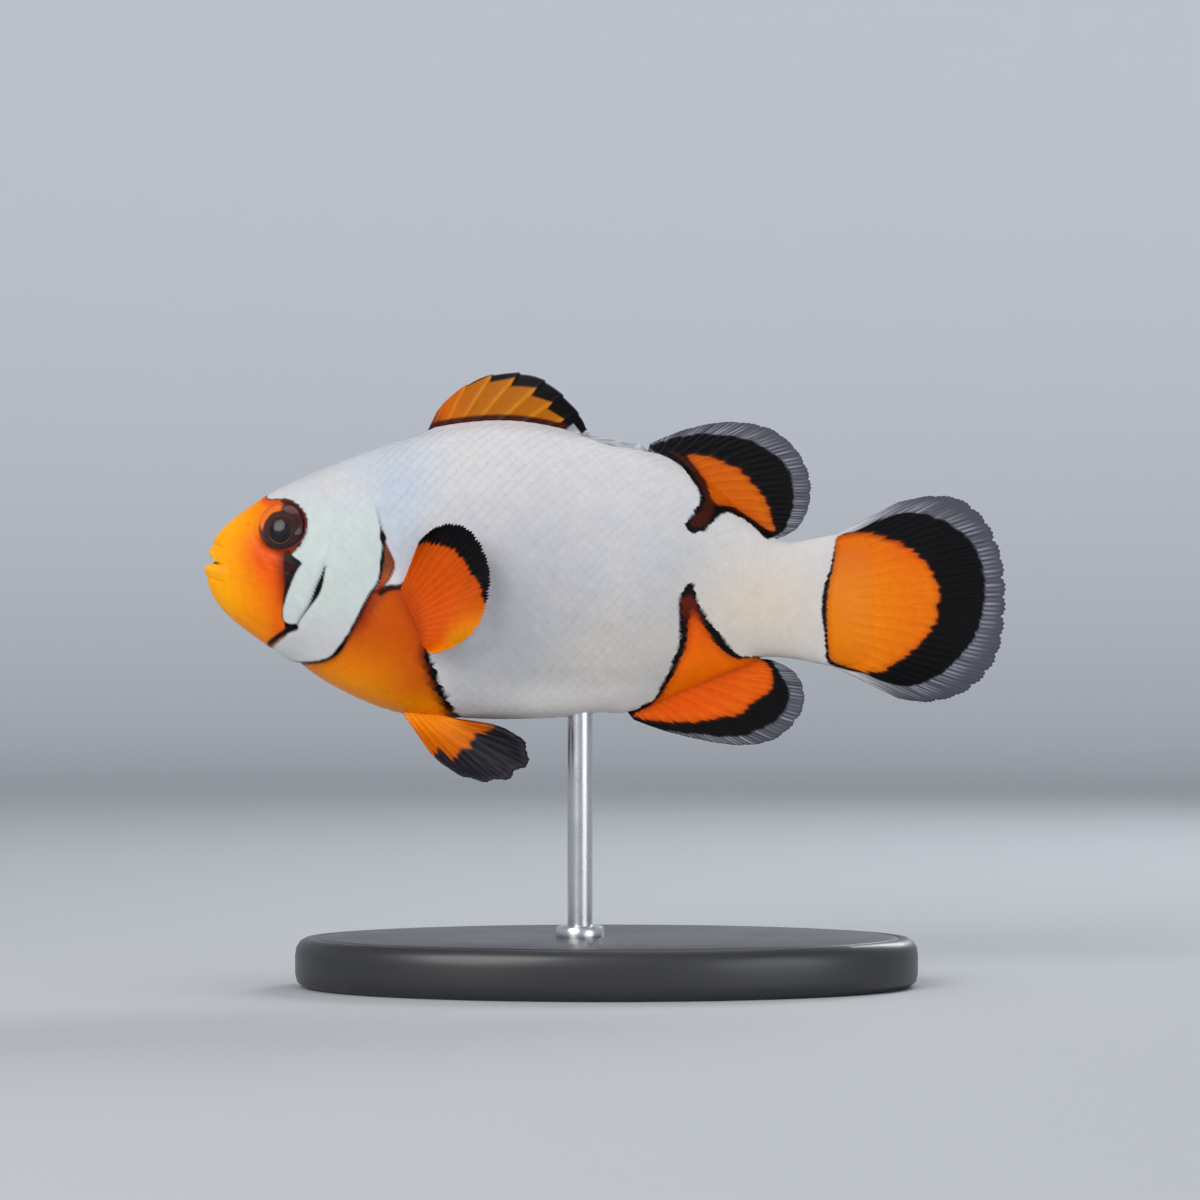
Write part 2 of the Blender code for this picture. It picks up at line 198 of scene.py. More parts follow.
def bodyPoint(station, turn):
    # turn runs from the back down the left side to the belly at pi, and up the right side
    x, back, belly, half = np.moveaxis(through(stations, station), -1, 0)
    tall = np.maximum((back - belly) / 2 - fish["coatDepth"], 0)
    wide = np.maximum(half - fish["coatDepth"], 0.02)
    power = 2 / fish["roundness"]
    s, c = np.sin(turn), np.cos(turn)
    y = -wide * np.sign(s) * np.abs(s) ** power
    z = (back + belly) / 2 + tall * np.sign(c) * np.abs(c) ** power
    return np.stack([x, y, z], axis=-1)


def outward(station, turn, step=0.004):
    along = bodyPoint(station + step, turn) - bodyPoint(np.maximum(station - step, 0.001), turn)
    across = bodyPoint(station, turn + step) - bodyPoint(station, turn - step)
    return unit(np.cross(across, along))


def sectionAt(x):
    # the body's back, belly and half width
    return through(stations[:, 1:], stationAt(x)).T


def halfWidthAt(x, z):
    back, belly, half = sectionAt(x)
    share = np.minimum(1, np.abs(z - (back + belly) / 2) / ((back - belly) / 2))
    return half * (1 - share ** fish["roundness"]) ** (1 / fish["roundness"])


head = {
    "eye": (10.0, 7.35),
    "eyeOpening": 2.78,
    "nostril": (5.5, 7.5),
    "mouthEnd": 4,  # how far back the lips, the head's forms and its colours go
    "reliefEnd": 34,
    "paintEnd": 36,
    # rear edge of the gill cover, from its top down to the throat
    "gillEdge": [
        (21.3, 10.6), (21.9, 8.5), (22.3, 7.0), (22.6, 5.2), (22.5, 3.2), (22.3, 1.4), (21.8, 0.0),
        (20.9, -1.2), (20.0, -3.0), (19.0, -4.9), (17.8, -6.9), (16.5, -8.6), (14.9, -9.4), (12.9, -9.6),
        (11.0, -9.4), (9.6, -8.6), (8.3, -7.5),
    ],
    # dark slit of the preopercle and the faint grooves that carry it on, up to the nape and down to the jaw
    "slit": [
        (15.4, 2.2), (14.9, 0.5), (14.3, -1.1), (13.5, -2.5), (12.7, -3.6), (12.1, -4.5), (11.7, -5.4),
    ],
    "cheekGroove": [(17.4, 9.4), (16.6, 6.2), (15.8, 3.4), (15.4, 2.2)],
    "jawGroove": [(11.7, -5.4), (9.9, -6.2), (7.6, -5.5), (5.4, -3.8)],
    "flap": [
        (22.6, 5.5), (23.3, 4.3), (24.0, 2.7), (23.8, 1.5), (23.2, 0.4), (22.4, -0.4), (21.7, -1.0),
        (22.1, 0.6), (22.4, 2.6),
    ],
    "underFlap": [(22.3, -1.0), (23.2, -0.5), (24.2, -0.35), (25.4, -0.3)],
    "pectoralRoot": [(24.4, -0.3), (25.8, -2.7), (27.0, -5.2), (27.8, -7.9)],
}
gillEdge, slitLine, pectoralLine = [smoothLine(head[name]) for name in ("gillEdge", "slit", "pectoralRoot")]
flapLoop = smoothLoop(head["flap"])


def distanceTo(flat, middle):
    return np.hypot(flat[:, 0] - middle[0], flat[:, 1] - middle[1])


def slitWidth(share):
    return 0.07 + 0.30 * hump(share - 0.34, 0.22)


def headRelief(p, normal):
    # height of the head's forms over the plain body
    flat = p[:, [0, 2]]
    flank = ramp(0.2, 0.5, np.abs(normal[:, 1]))
    gap, share, side = toLine(flat, gillEdge)
    behind = gap * side
    fade = ramp(0.0, 0.10, share) * ramp(1.0, 0.93, share)
    lift = fade * np.where(behind > 0, -0.50 * np.exp(-np.abs(behind) / 2.2), 0.13 * hump(behind, 1.2))
    lift += 0.26 * ramp(-0.06, 0.10, inside(flat, flapLoop)) * (behind > 0) * flank
    gap, share, _ = toLine(flat, slitLine)
    lift -= flank * 0.50 * hump(gap, 0.10 + slitWidth(share)) * (0.35 + 0.65 * hump(share - 0.4, 0.4))
    lift += flank * 0.07 * hump(gap - 1.1, 0.7)
    for name, depth in (("cheekGroove", 0.08), ("jawGroove", 0.07)):
        lift -= flank * depth * hump(toLine(flat, smoothLine(head[name]))[0], 0.35)
    r = distanceTo(flat, head["eye"])
    lift -= flank * 1.3 * ramp(head["eyeOpening"] + 0.05, head["eyeOpening"] - 0.30, r)
    lift += flank * (0.13 * hump(r - 3.05, 0.28) - 0.05 * hump(r - 3.75, 0.40))
    r = distanceTo(flat, head["nostril"])
    lift += flank * (0.07 * hump(r - 0.36, 0.13) - 0.42 * hump(r, 0.20))
    lift += 0.5 * flank * hump(toLine(flat, pectoralLine)[0], 1.7)
    lift += 0.018 * ripple(flat, 1.1, 3) * ramp(1.0, 4.0, p[:, 0])
    return lift


def mouthHeight(x):
    return 2.98 - 0.30 * np.maximum(x - 0.7, 0)


def mouthRelief(p, normal):
    # lips and the slit between them, as a shift
    x = p[:, 0]
    off = p[:, 2] - mouthHeight(x)
    inner = ramp(0.2, 1.4, x)
    depth = mix(1.35, 0.34, inner) * (1 - ramp(1.6, 2.9, x)) * hump(off, mix(0.44, 0.13, inner))
    level = normal * np.array([1, 1, 0])
    # near the middle the slit goes straight back
    level[:, 1] *= ramp(0.2, 2.2, np.abs(p[:, 1]))
    level = unit(level, 0.05)
    lips = 0.12 * hump(np.abs(off) - 0.95, 0.50) - 0.12 * hump(np.abs(off) - 2.15, 0.26)
    lips *= 1 - ramp(1.9, 3.4, x)
    lips -= 0.10 * hump(x - 3.2, 0.3) * hump(off + 0.3, 1.1)
    # the upper lip sits a little behind the lower one
    depth += 0.30 * ramp(0.0, 0.6, off) * ramp(3.4, 1.4, off) * ramp(2.6, 0.8, x)
    return normal * lips[:, None] - level * depth[:, None]


fins = {
    "wave": 0.5,
    "tailBend": 2.0,
    "pectoralSpread": math.radians(24),
    "pelvicSpread": math.radians(16),
    "pelvicStart": 1.6,
    "sideLength": 11.0,
    "paintStart": 50,  # how far forward the colours of the hind fins go on the flank
}


def tailSway(u, v):
    lean = fins["tailBend"] * v**1.5 + 2 * fins["wave"] * v * np.sin(2.2 * math.pi * u)
    return lean + 0.12 * v**2 * np.sin(9 * u + 2 * v)


def tailShares(flat):
    # where places lie on the tail fin: across its rays, and out along them
    x, z = flat.T
    rootX, top = tailFin["base"][0]
    bottom = tailFin["base"][-1][1]
    shares = np.linspace(0, 1, 60)
    edge = evenly(tailFin["edge"], shares)
    u = np.clip((top - z) / (top - bottom), 0, 1)
    for _ in range(6):
        edgeX, edgeZ = np.interp(u, shares, edge[:, 0]), np.interp(u, shares, edge[:, 1])
        v = np.clip((x - rootX) / (edgeX - rootX), 0, 1)
        u = np.clip(u + (mix(mix(top, bottom, u), edgeZ, v) - z) / mix(top - bottom, 25, v), 0, 1)
    return u, v


def skinPoint(station, turn):
    p = bodyPoint(station, turn)
    normal = outward(station, turn)
    x, y = p[:, 0], p[:, 1]
    lift = np.zeros(len(p))
    front = x < head["reliefEnd"]
    lift[front] = headRelief(p[front], normal[front])
    # low fleshy ridges that the upright fins grow from
    top = (normal[:, 2] > 0) * (ramp(26.5, 29, x) * ramp(48, 44, x) + ramp(54, 57, x) * ramp(72, 69, x))
    under = (normal[:, 2] < 0) * ramp(49, 52, x) * ramp(69.5, 67, x)
    lift += 0.42 * np.minimum(top, 1) * hump(y, 1.0) + 0.62 * under * hump(y, 1.5)
    lift -= 0.55 * (normal[:, 2] > 0) * hump(x - 50.6, 3.0) * hump(y, 2.6)
    p = p + normal * lift[:, None]
    mouth = p[:, 0] < head["mouthEnd"]
    p[mouth] += mouthRelief(p[mouth], normal[mouth])
    # past the stalk the skin leans the way the tail fin does, and the rays begin under it
    rear = p[:, 0] > tailFin["base"][0][0]
    if rear.any():
        u, v = tailShares(p[rear][:, [0, 2]])
        ridge = rayPattern(u, v, tailFin) * ramp(79.5, 83.5, p[rear][:, 0])
        p[rear, 1] += tailSway(u, v) + 0.10 * ridge * np.sign(normal[rear, 1])
    return p


# Colours, as a person would read them from 0 to 255
inks = {
    "white": (203, 202, 204), "blueWhite": (174, 189, 206), "greenWhite": (191, 203, 198),
    "warmWhite": (215, 198, 176), "midFlankShade": (176, 177, 187), "shadowFillLight": (232, 236, 244),
    "bellyLitWhite": (242, 234, 228), "coverWhite": (198, 195, 196), "shadeWhite": (176, 172, 170),
    "coolShade": (152, 166, 180), "snout": (254, 165, 0), "cheek": (234, 86, 0), "chin": (244, 140, 0),
    "lipPink": (255, 150, 90), "lip": (255, 196, 60), "mouth": (44, 16, 8), "wedge": (52, 16, 14),
    "eyeSkin": (84, 32, 30), "eyeRing": (210, 70, 0), "eyeShade": (120, 40, 12), "breast": (196, 82, 0),
    "belly": (236, 128, 0), "throat": (255, 156, 0), "undersideLight": (255, 150, 0), "finShade": (160, 58, 4),
    "flankLitOrange": (255, 114, 0), "rust": (122, 32, 4), "umber": (62, 24, 12), "black": (8, 7, 10),
    "dorsal": (198, 90, 0), "anal": (222, 84, 0), "tail": (228, 120, 0), "tailGold": (240, 132, 0),
    "tailRed": (224, 98, 0), "pectoral": (206, 76, 0), "pectoralEdge": (234, 126, 0),
    "pectoralGold": (200, 138, 8), "pectoralRoot": (166, 58, 0), "pelvicTip": (180, 72, 0),
    "spiny": (178, 101, 0), "spine": (230, 148, 10), "olive": (112, 52, 0),
    "veil": (78, 78, 87), "veilLight": (150, 152, 162), "veilDark": (34, 33, 40), "smoke": (26, 24, 30),
    "iris": (92, 36, 32), "irisStreak": (60, 24, 24), "irisRing": (110, 50, 50), "irisOrange": (248, 128, 0),
    "irisDark": (50, 20, 16), "irisBrown": (84, 40, 22), "irisEdge": (60, 22, 18), "pupil": (4, 4, 6),
    "pupilRim": (180, 110, 80), "socket": (196, 78, 6),
}
palette = {name: (np.array(levels) / 255) ** 2.2 for name, levels in inks.items()}

# Outlines of the markings
marks = {
    "face": [
        (7.5, 11.8), (7.9, 10.7), (9.3, 10.6), (10.7, 10.5), (11.7, 9.7), (12.5, 8.5), (12.8, 6.8),
        (12.3, 5.1), (11.3, 4.0), (10.8, 3.6), (11.6, 3.1), (12.4, 2.7), (11.8, 1.7), (11.1, 0.1),
        (10.5, -1.5), (10.1, -2.9), (10.1, -4.1), (10.6, -4.9), (11.5, -5.0), (11.8, -5.5), (10.8, -5.9),
        (9.7, -6.8), (8.5, -7.7), (7.6, -8.8), (2, -10), (-2, -5), (-3, 3), (-1, 9), (4, 13),
    ],
    "wedge": [
        (10.7, 4.4), (11.5, 3.5), (12.4, 2.7), (11.8, 1.6), (11.2, 0.3), (10.5, -1.5), (10.1, -2.5),
        (10.2, -0.2), (10.0, 2.2), (10.2, 3.8),
    ],
    "spike": [
        (10.3, -4.7), (11.0, -4.85), (11.8, -4.9), (11.85, -5.5), (10.9, -5.8), (9.6, -6.55), (8.2, -7.6),
        (8.0, -7.1), (9.3, -6.1), (10.3, -5.4),
    ],
    "breast": [
        (21.9, -0.6), (23.2, -0.1), (24.5, -0.1), (26.0, 0.2), (28.0, -2.0), (28.4, -5.5), (27.6, -8.2),
        (28.1, -9.8), (29.1, -12.6), (30.3, -15.2), (31.4, -18.5), (20, -20), (11, -13), (10.4, -10.4),
        (11.6, -9.9), (13.1, -9.7), (14.9, -9.4), (16.5, -8.6), (17.8, -6.9), (19.0, -4.9), (20.0, -3.0),
        (20.9, -1.4),
    ],
    "softDark": [
        (55.3, 17.2), (56.0, 16.6), (57.5, 15.9), (59.4, 14.6), (60.6, 13.0), (61.6, 10.9), (61.1, 9.4),
        (59.9, 7.8), (60.0, 6.7), (61.1, 6.4), (62.4, 6.7), (63.3, 8.0), (64.9, 8.8), (66.5, 8.4),
        (68.2, 7.2), (69.8, 5.7), (70.3, 5.7), (72.2, 7.1), (73.1, 9.4), (73.2, 11.7), (73.0, 13.7),
        (71.8, 15.4), (70.0, 16.9), (67.5, 18.0), (64.9, 18.6), (61.9, 18.75), (59.6, 18.5), (57.4, 17.95),
        (56.1, 17.5),
    ],
    "softOrange": [
        (60.1, 16.1), (62.4, 16.0), (64.9, 15.2), (67.0, 13.9), (68.2, 12.7), (69.5, 10.9), (70.5, 8.6),
        (70.8, 6.8), (69.5, 7.25), (68.0, 8.3), (65.6, 9.7), (63.7, 10.0), (62.9, 11.0), (62.4, 12.5),
        (61.4, 14.2),
    ],
    "softBrown": [
        (57.4, 16.9), (59.8, 15.9), (61.2, 14.2), (62.1, 12.6), (62.8, 10.9), (63.4, 9.5), (62.6, 7.7),
        (61.2, 7.0), (60.4, 7.3), (60.6, 8.4), (61.9, 9.7), (62.1, 11.0), (61.1, 13.1), (59.8, 14.9),
    ],
    "analDark": [
        (52.7, -16.6), (54.0, -15.2), (55.6, -14.3), (57.0, -12.2), (58.0, -10.0), (59.0, -6.8),
        (59.0, -2.3), (59.6, -0.5), (60.1, 0.2), (60.8, -0.2), (61.4, -2.3), (63.1, -4.9), (64.7, -6.8),
        (66.3, -8.7), (68.5, -8.9), (70.3, -9.2), (71.6, -11.0), (72.7, -13.0), (72.6, -15.0),
        (71.3, -16.8), (69.5, -17.8), (67.0, -18.7), (63.4, -18.8), (59.9, -18.4), (57.3, -18.1),
        (54.3, -17.6),
    ],
    "analOrange": [
        (53.3, -16.2), (55.8, -14.8), (57.5, -12.5), (58.9, -9.7), (59.9, -7.4), (60.1, -4.9), (60.5, -2.9),
        (61.4, -3.9), (62.9, -6.4), (64.6, -8.3), (66.2, -9.1), (69.0, -9.1), (70.5, -10.6), (70.5, -13.0),
        (68.0, -14.8), (66.7, -16.1), (63.4, -16.6), (60.4, -17.1), (57.5, -17.0), (55.3, -16.8),
    ],
    "tailDark": [
        (79.3, 6.3), (78.6, 5.5), (78.2, 3.9), (77.6, 1.5), (77.0, -0.1), (76.7, -3.1), (77.0, -6.0),
        (77.2, -8.0), (77.6, -9.7), (79.7, -10.5), (82.7, -11.2), (84.9, -12.1), (86.9, -12.5),
        (89.3, -12.2), (91.7, -11.0), (93.9, -9.0), (95.6, -6.8), (96.6, -4.5), (97.1, -2.1), (97.2, 0.7),
        (96.6, 3.3), (95.5, 5.5), (93.6, 7.1), (91.3, 8.3), (88.5, 8.9), (86.1, 8.8), (84.2, 8.2),
        (82.3, 7.3), (80.8, 6.7),
    ],
    "tailOrange": [
        (78.5, 5.75), (80.2, 6.5), (82.3, 6.55), (83.9, 6.15), (85.5, 5.6), (87.3, 4.9), (89.3, 3.3),
        (90.3, 1.9), (91.3, -0.1), (91.5, -1.3), (91.1, -2.6), (91.2, -3.9), (90.3, -5.5), (88.5, -7.8),
        (86.1, -9.6), (84.5, -10.6), (82.5, -10.8), (79.6, -10.1), (77.9, -9.3), (77.5, -7.2), (77.3, -3.6),
        (77.6, -0.1), (78.4, 3.5),
    ],
    "pectoralOrange": [
        (23.5, -1.5), (25.2, 2.6), (27.2, 4.9), (28.9, 4.9), (30.8, 4.4), (32.3, 3.5), (33.2, 2.0),
        (34.2, 0.6), (34.8, -0.9), (35.5, -2.7), (36.5, -4.5), (34.5, -9), (28, -10), (23.5, -7),
    ],
    "pelvicOrange": [
        (23.5, -15), (26.0, -18.8), (27.6, -20.7), (28.6, -21.2), (29.2, -20.2), (30.9, -21.4),
        (31.6, -20.6), (33.2, -19.9), (33.8, -18.6), (35.6, -17.8), (36.5, -16), (28, -14),
    ],
}
patches = {
    "soft": {"dark": "softDark", "orange": "softOrange", "ink": "dorsal"},
    "anal": {"dark": "analDark", "orange": "analOrange", "ink": "anal"},
    "tail": {"dark": "tailDark", "orange": "tailOrange", "ink": "tail"},
}
loops = {name: smoothLoop(outline) for name, outline in marks.items()}


def lay(colour, *coats):
    # coats of (ink, how much it covers), each laid over the last
    for ink, share in coats:
        ink = palette[ink] if isinstance(ink, str) else ink
        colour = colour + (ink - colour) * np.asarray(np.clip(share, 0, 1))[..., None]
    return colour


def plain(ink, flat, *coats):
    return lay(np.tile(palette[ink], (len(flat), 1)), *coats)


def edgeShare(depth, soft=0.10):
    return ramp(-soft, soft, depth)


def paintPatch(colour, flat, kind, darkPush=0.0, orangePush=0.0, ray=0.0, paintedLight=0.0):
    # an orange patch in its dark surround; the pushes step the two outlines in and out, and the last share
    # brightens the orange as painted light
    x, z = flat.T
    patch = patches[kind]
    dark = inside(flat, loops[patch["dark"]]) + darkPush
    depth = inside(flat, loops[patch["orange"]]) + orangePush
    between = 0.8 * ramp(-0.40, -0.05, depth) * edgeShare(dark - 0.4)
    colour = lay(colour, ("black", edgeShare(dark)), ("umber", between))
    if kind == "soft":
        colour = lay(colour, ("umber", ramp(-0.10, 0.25, inside(flat, loops["softBrown"]))))
    # lighter on the ray crests: partly the rays' own paler colour, partly a painted highlight
    orange = plain(patch["ink"], flat, ("spine", 0.16 * ray), ("flankLitOrange", paintedLight))
    edging = 0.30
    if kind == "tail":
        redder = 0.55 * ramp(83, 89, x) + 0.6 * ramp(0, 5, z) + 0.25 * ramp(-6, -9, z)
        orange = lay(orange, ("tailGold", 0.5 * ramp(86, 80, x) * ramp(3, -1, z)), ("tailRed", redder))
        edging = 0.30 + 0.40 * ramp(3.5, 5.8, z)
    orange = lay(orange, ("rust", edging * ramp(0.9, 0.0, depth)))
    colour = lay(colour, (orange, ramp(-0.12, 0.18, depth)))
    if kind == "anal":
        # the tip of the wedge on the flank darkens
        fade = ramp(-5.2, -2.4, z) * edgeShare(dark - 0.35, 0.2)
        dusk = mix(palette["rust"], palette["umber"], 0.6)
        colour = lay(colour, (dusk, fade), ("black", ramp(-1.9, -0.9, z) * edgeShare(dark)))
    return colour


def paintFace(colour, flat):
    x, z = flat.T
    depth = inside(flat, loops["face"])
    line = 0.06 + 0.10 * ramp(9.0, 11.5, x) * ramp(2.0, 6.0, z) + 0.05 * ripple(flat, 0.7, 11)
    # yellow on snout and forehead, redder towards the cheek and most below the eye
    warm = ramp(1.4, 10.8, x) + 0.36 * blot(flat, (7.2, 3.8), 2.7) - 0.15 * ramp(5.5, 8.0, z)
    warm = warm - 0.10 * ramp(1, -3, z) + 0.6 * ramp(1.3, 0.1, depth) * ramp(7, 9, z)
    orange = lay(
        mix(palette["snout"], palette["cheek"], np.clip(warm, 0, 1)[:, None]),
        ("chin", ramp(-1.0, -7.0, z) * 0.75 * ramp(10.5, 6.5, x)),
        ("rust", 0.12 * ramp(7.5, 9.5, x)),
        ("lipPink", 0.25 * blot(flat, (2.4, 2.0), 0.8, (1, 1.6))),
    )
    wedge = inside(flat, loops["wedge"])
    rust = ramp(-1.3, 0.2, wedge) * ramp(-5.0, 0.5, z) * edgeShare(depth, 0.1)
    # the dark skin round the eye
    r = distanceTo(flat, head["eye"])
    angle = np.arctan2(z - head["eye"][1], x - head["eye"][0])
    dark = np.maximum(ramp(1.75, 1.60, angle) * (angle > -0.2), ramp(-2.75, -2.2, angle) * (angle < 0))
    below = 0.6 * ramp(4.1, 3.0, r) * ramp(-0.9, -1.4, angle) * ramp(-2.9, -2.3, angle)
    off = np.abs(z - mouthHeight(x))
    reach = 1 - ramp(1.2, 2.3, x)
    return lay(
        colour,
        ("black", edgeShare(depth + line) * ramp(-9.5, -7, z)),  # along the white band's front edge
        (orange, edgeShare(depth - 0.10, 0.14)),
        ("rust", rust * 0.85),
        ("wedge", ramp(-0.05, 0.35, wedge)),
        ("black", ramp(-0.05, 0.10, wedge) * ramp(0.85, 0.25, depth)),
        ("black", edgeShare(inside(flat, loops["spike"]) + 0.05)),
        ("eyeSkin", edgeShare(3.22 + 0.06 * ripple(flat, 0.6, 5) - r, 0.10) * dark),
        ("eyeRing", 0.4 * hump(r - 2.75, 0.20) * (1 - dark)),
        ("eyeShade", below),
        ("lip", 0.35 * hump(off - 0.9, 0.4) * reach),
        # painted shade: dark inside the slit between the lips
        ("mouth", reach * ramp(mix(0.42, 0.24, ramp(0.4, 1.4, x)), 0.10, off)),
    )


def paintGill(colour, flat):
    x, z = flat.T
    gap, share, side = toLine(flat, gillEdge)
    behind = gap * side
    cover = edgeShare(-behind, 0.2) * ramp(9.0, 11.0, x)
    depth = inside(flat, loops["breast"])
    edging = 0.52 * ramp(-7.4, -8.4, z) * ramp(26, 28, x)
    black = edgeShare(depth + 0.10 + edging + 0.1 * ripple(flat, 0.9, 8))
    orange = plain(
        "breast", flat,
        ("belly", ramp(-5.0, -12.5, z) * ramp(30, 18, x)),
        ("throat", 0.8 * ramp(-9.0, -14.0, z) * ramp(27, 14, x)),
        # painted light: a brighter orange along the underside, which faces down into shade
        ("undersideLight", 0.75 * ramp(-12.0, -15.5, z)),
        ("pectoral", 0.35 * ramp(22, 27, x) * ramp(-12, -5, z)),
        ("umber", 0.85 * ramp(1.3, 0.1, depth) * ramp(26, 27.5, x) * ramp(-6, -8, z)),
    )
    # the gill cover's dark edge has two swellings
    width = 0.10 + 0.36 * hump(z - 5.9, 0.7) + 0.16 * hump(z - 2.6, 1.5) + 0.20 * hump(z + 7.9, 0.9)
    width = width * ramp(0.05, 0.20, share) * ramp(0.90, 0.80, share)
    flap = inside(flat, flapLoop)
    flapInk = plain("olive", flat, ("breast", 0.7 * ramp(2.5, -0.2, z)), ("rust", ramp(0.40, 0.05, flap)))
    under = toLine(flat, smoothLine(head["underFlap"]))[0]
    slit, along, _ = toLine(flat, slitLine)
    return lay(
        colour,
        ("greenWhite", 0.85 * cover * ramp(11.5, 8.0, z)),
        ("coverWhite", 0.8 * cover * ramp(-1.5, -6.0, z)),
        ("black", black * ramp(10, 13, x)),
        (orange, ramp(-0.05, 0.35, depth) * np.where(x < 16, edgeShare(behind, 0.15), 1)),
        # rust behind the gill cover, and shade where the pectoral fin starts
        ("rust", 0.8 * ramp(2.6, 0.3, behind) * (behind > 0) * ramp(-8.0, -4, z) * (z < -0.4)),
        ("finShade", 0.8 * hump(toLine(flat, pectoralLine)[0], 1.0) * edgeShare(depth, 0.2)),
        ("black", edgeShare(width - gap, 0.08) * (width > 0.02)),
        (flapInk, edgeShare(flap, 0.08) * (behind > width * 0.8)),
        ("black", 0.95 * edgeShare(0.34 - under, 0.12)),
        ("black", edgeShare(slitWidth(along) - slit, 0.07)),
    )


def paintBody(flat, jag):
    # the colour of skin and scales at places in the side view; jag steps the outlines in and out
    x, z = flat.T
    low = ramp(4, -6, z) * (1 - 0.6 * ramp(-11, -15, z))
    colour = plain(
        "white", flat,
        ("blueWhite", 0.85 * blot(flat, (24.2, 10.5), 4.6, (1, 0.45))),
        ("blueWhite", 0.25 * hump(x - 13, 5) * ramp(6, 11, z)),
        # painted shade: a grey patch darkens the middle of the flank
        ("midFlankShade", 0.75 * blot(flat, (41, 1), 9.0, (0.8, 1))),
        ("shadeWhite", 0.55 * low * ramp(30, 36, x) * ramp(66, 58, x)),
        ("coolShade", 0.54 * blot(flat, (39.8, -6.8), 4.8, (0.75, 0.7))),
        # painted light: a pale patch lightens the pectoral fin's cast shadow on the flank
        ("shadowFillLight", 0.75 * blot(flat, (34.4, -3.6), 3.0, (1, 0.42))),
        ("coolShade", 0.42 * blot(flat, (59.0, 1.5), 3.6, (0.75, 0.5))),
        ("warmWhite", 0.30 * blot(flat, (50, -9), 4.5, (0.6, 1))),
        ("warmWhite", 0.75 * blot(flat, (69, -3), 5.5, (0.6, 0.7))),
        ("warmWhite", 0.06 * (ripple(flat, 5.0, 21) + 1)),
        # painted light: a brighter white on the lowest belly, which faces down into shade; partly the belly's
        # own paler white
        ("bellyLitWhite", 0.8 * ramp(-10.5, -15.5, z) * ramp(32, 42, x) * ramp(62, 56, x)),
    )
    front = x < head["paintEnd"]
    if front.any():
        shift = np.stack([0 * jag[front], jag[front] * 0.6], axis=1)
        colour[front] = paintFace(paintGill(colour[front], flat[front] + shift), flat[front])
    rear = x > fins["paintStart"]
    if rear.any():
        spot, part, step = flat[rear], colour[rear], jag[rear]
        # painted light: the flank turns away from the light where it nears the fins, so its orange is painted
        # brighter there
        paintedLight = (0.10 + 0.90 * ramp(-4, -11, spot[:, 1])) * ramp(74, 70, spot[:, 0])
        for kind in patches:
            part = paintPatch(part, spot, kind, step, step, paintedLight=paintedLight)
        colour[rear] = part
    return colour


# Materials
def setSockets(node, values):
    for socket, value in values.items():
        node.inputs[socket].default_value = value
    return node


def addNode(tree, kind, sockets=None, **settings):
    node = tree.nodes.new("ShaderNode" + kind)
    for name, value in settings.items():
        setattr(node, name, value)
    return setSockets(node, sockets or {})


def wire(source, output, target, socket):
    target.id_data.links.new(source.outputs[output], target.inputs[socket])


def rangeNode(source, output, starts, ends, style="LINEAR"):
    # turns one range of a value into another
    sockets = {"From Min": starts[0], "From Max": starts[1], "To Min": ends[0], "To Max": ends[1]}
    node = addNode(source.id_data, "MapRange", sockets, interpolation_type=style)
    wire(source, output, node, "Value")
    return node


def noiseNode(tree, size, detail, stretch=(1, 1, 1)):
    # unevenness with lumps of about this size in metres
    place = addNode(tree, "TexCoord")
    mapping = addNode(tree, "Mapping", {"Scale": stretch})
    noise = addNode(tree, "TexNoise", {"Scale": 1 / size, "Detail": detail})
    wire(place, "Object", mapping, "Vector")
    wire(mapping, "Vector", noise, "Vector")
    return noise


def newMaterial(name, sockets):
    made = bpy.data.materials.new(name)
    made.use_nodes = True
    return made, setSockets(made.node_tree.nodes["Principled BSDF"], {"Coat Roughness": 0.18, **sockets})


def addRoughness(shader, size, low, high):
    spread = rangeNode(noiseNode(shader.id_data, size, 3), "Fac", (0.3, 0.7), (low, high))
    wire(spread, "Result", shader, "Roughness")


def addBump(shader, size, height, stretch=(1, 1, 1)):
    noise = noiseNode(shader.id_data, size, 4, stretch)
    bump = addNode(shader.id_data, "Bump", {"Distance": height})
    wire(noise, "Fac", bump, "Height")
    wire(bump, "Normal", shader, "Normal")


def fleshMaterial(name, look):
    # painted flesh: the colours painted on the piece, painted light and shade among them, mottled a little,
    # under a wet film
    made, shader = newMaterial(name, {
        "Roughness": look["roughness"],
        "Coat Weight": look["film"],
        "Specular IOR Level": 0.12,
        "Subsurface Weight": look["softness"],
        "Subsurface Radius": (1.0, 0.6, 0.4),
        "Subsurface Scale": 0.0005,
    })
    tree = made.node_tree
    paint = addNode(tree, "Attribute", attribute_name="paint")
    mottle = noiseNode(tree, look["mottleSize"], 5)
    tone = rangeNode(mottle, "Fac", (0.25, 0.75), (1 - look["mottle"], 1 + look["mottle"]))
    mottled = addNode(tree, "VectorMath", operation="SCALE")
    wire(paint, "Color", mottled, 0)
    wire(tone, "Result", mottled, "Scale")
    wire(mottled, "Vector", shader, "Base Color")
    addRoughness(shader, look["grain"] * 4, look["roughness"] - 0.07, look["roughness"] + 0.07)
    addBump(shader, look["grain"], look["grainHeight"])
    return made


# Mesh building
def newObject(name, data):
    made = bpy.data.objects.new(name, data)
    bpy.context.scene.collection.objects.link(made)
    return made


def newMesh(name, points, faces, material):
    mesh = bpy.data.meshes.new(name)
    mesh.from_pydata(points, [], faces)
    mesh.polygons.foreach_set("use_smooth", np.ones(len(mesh.polygons), bool))
    mesh.materials.append(material)
    return mesh


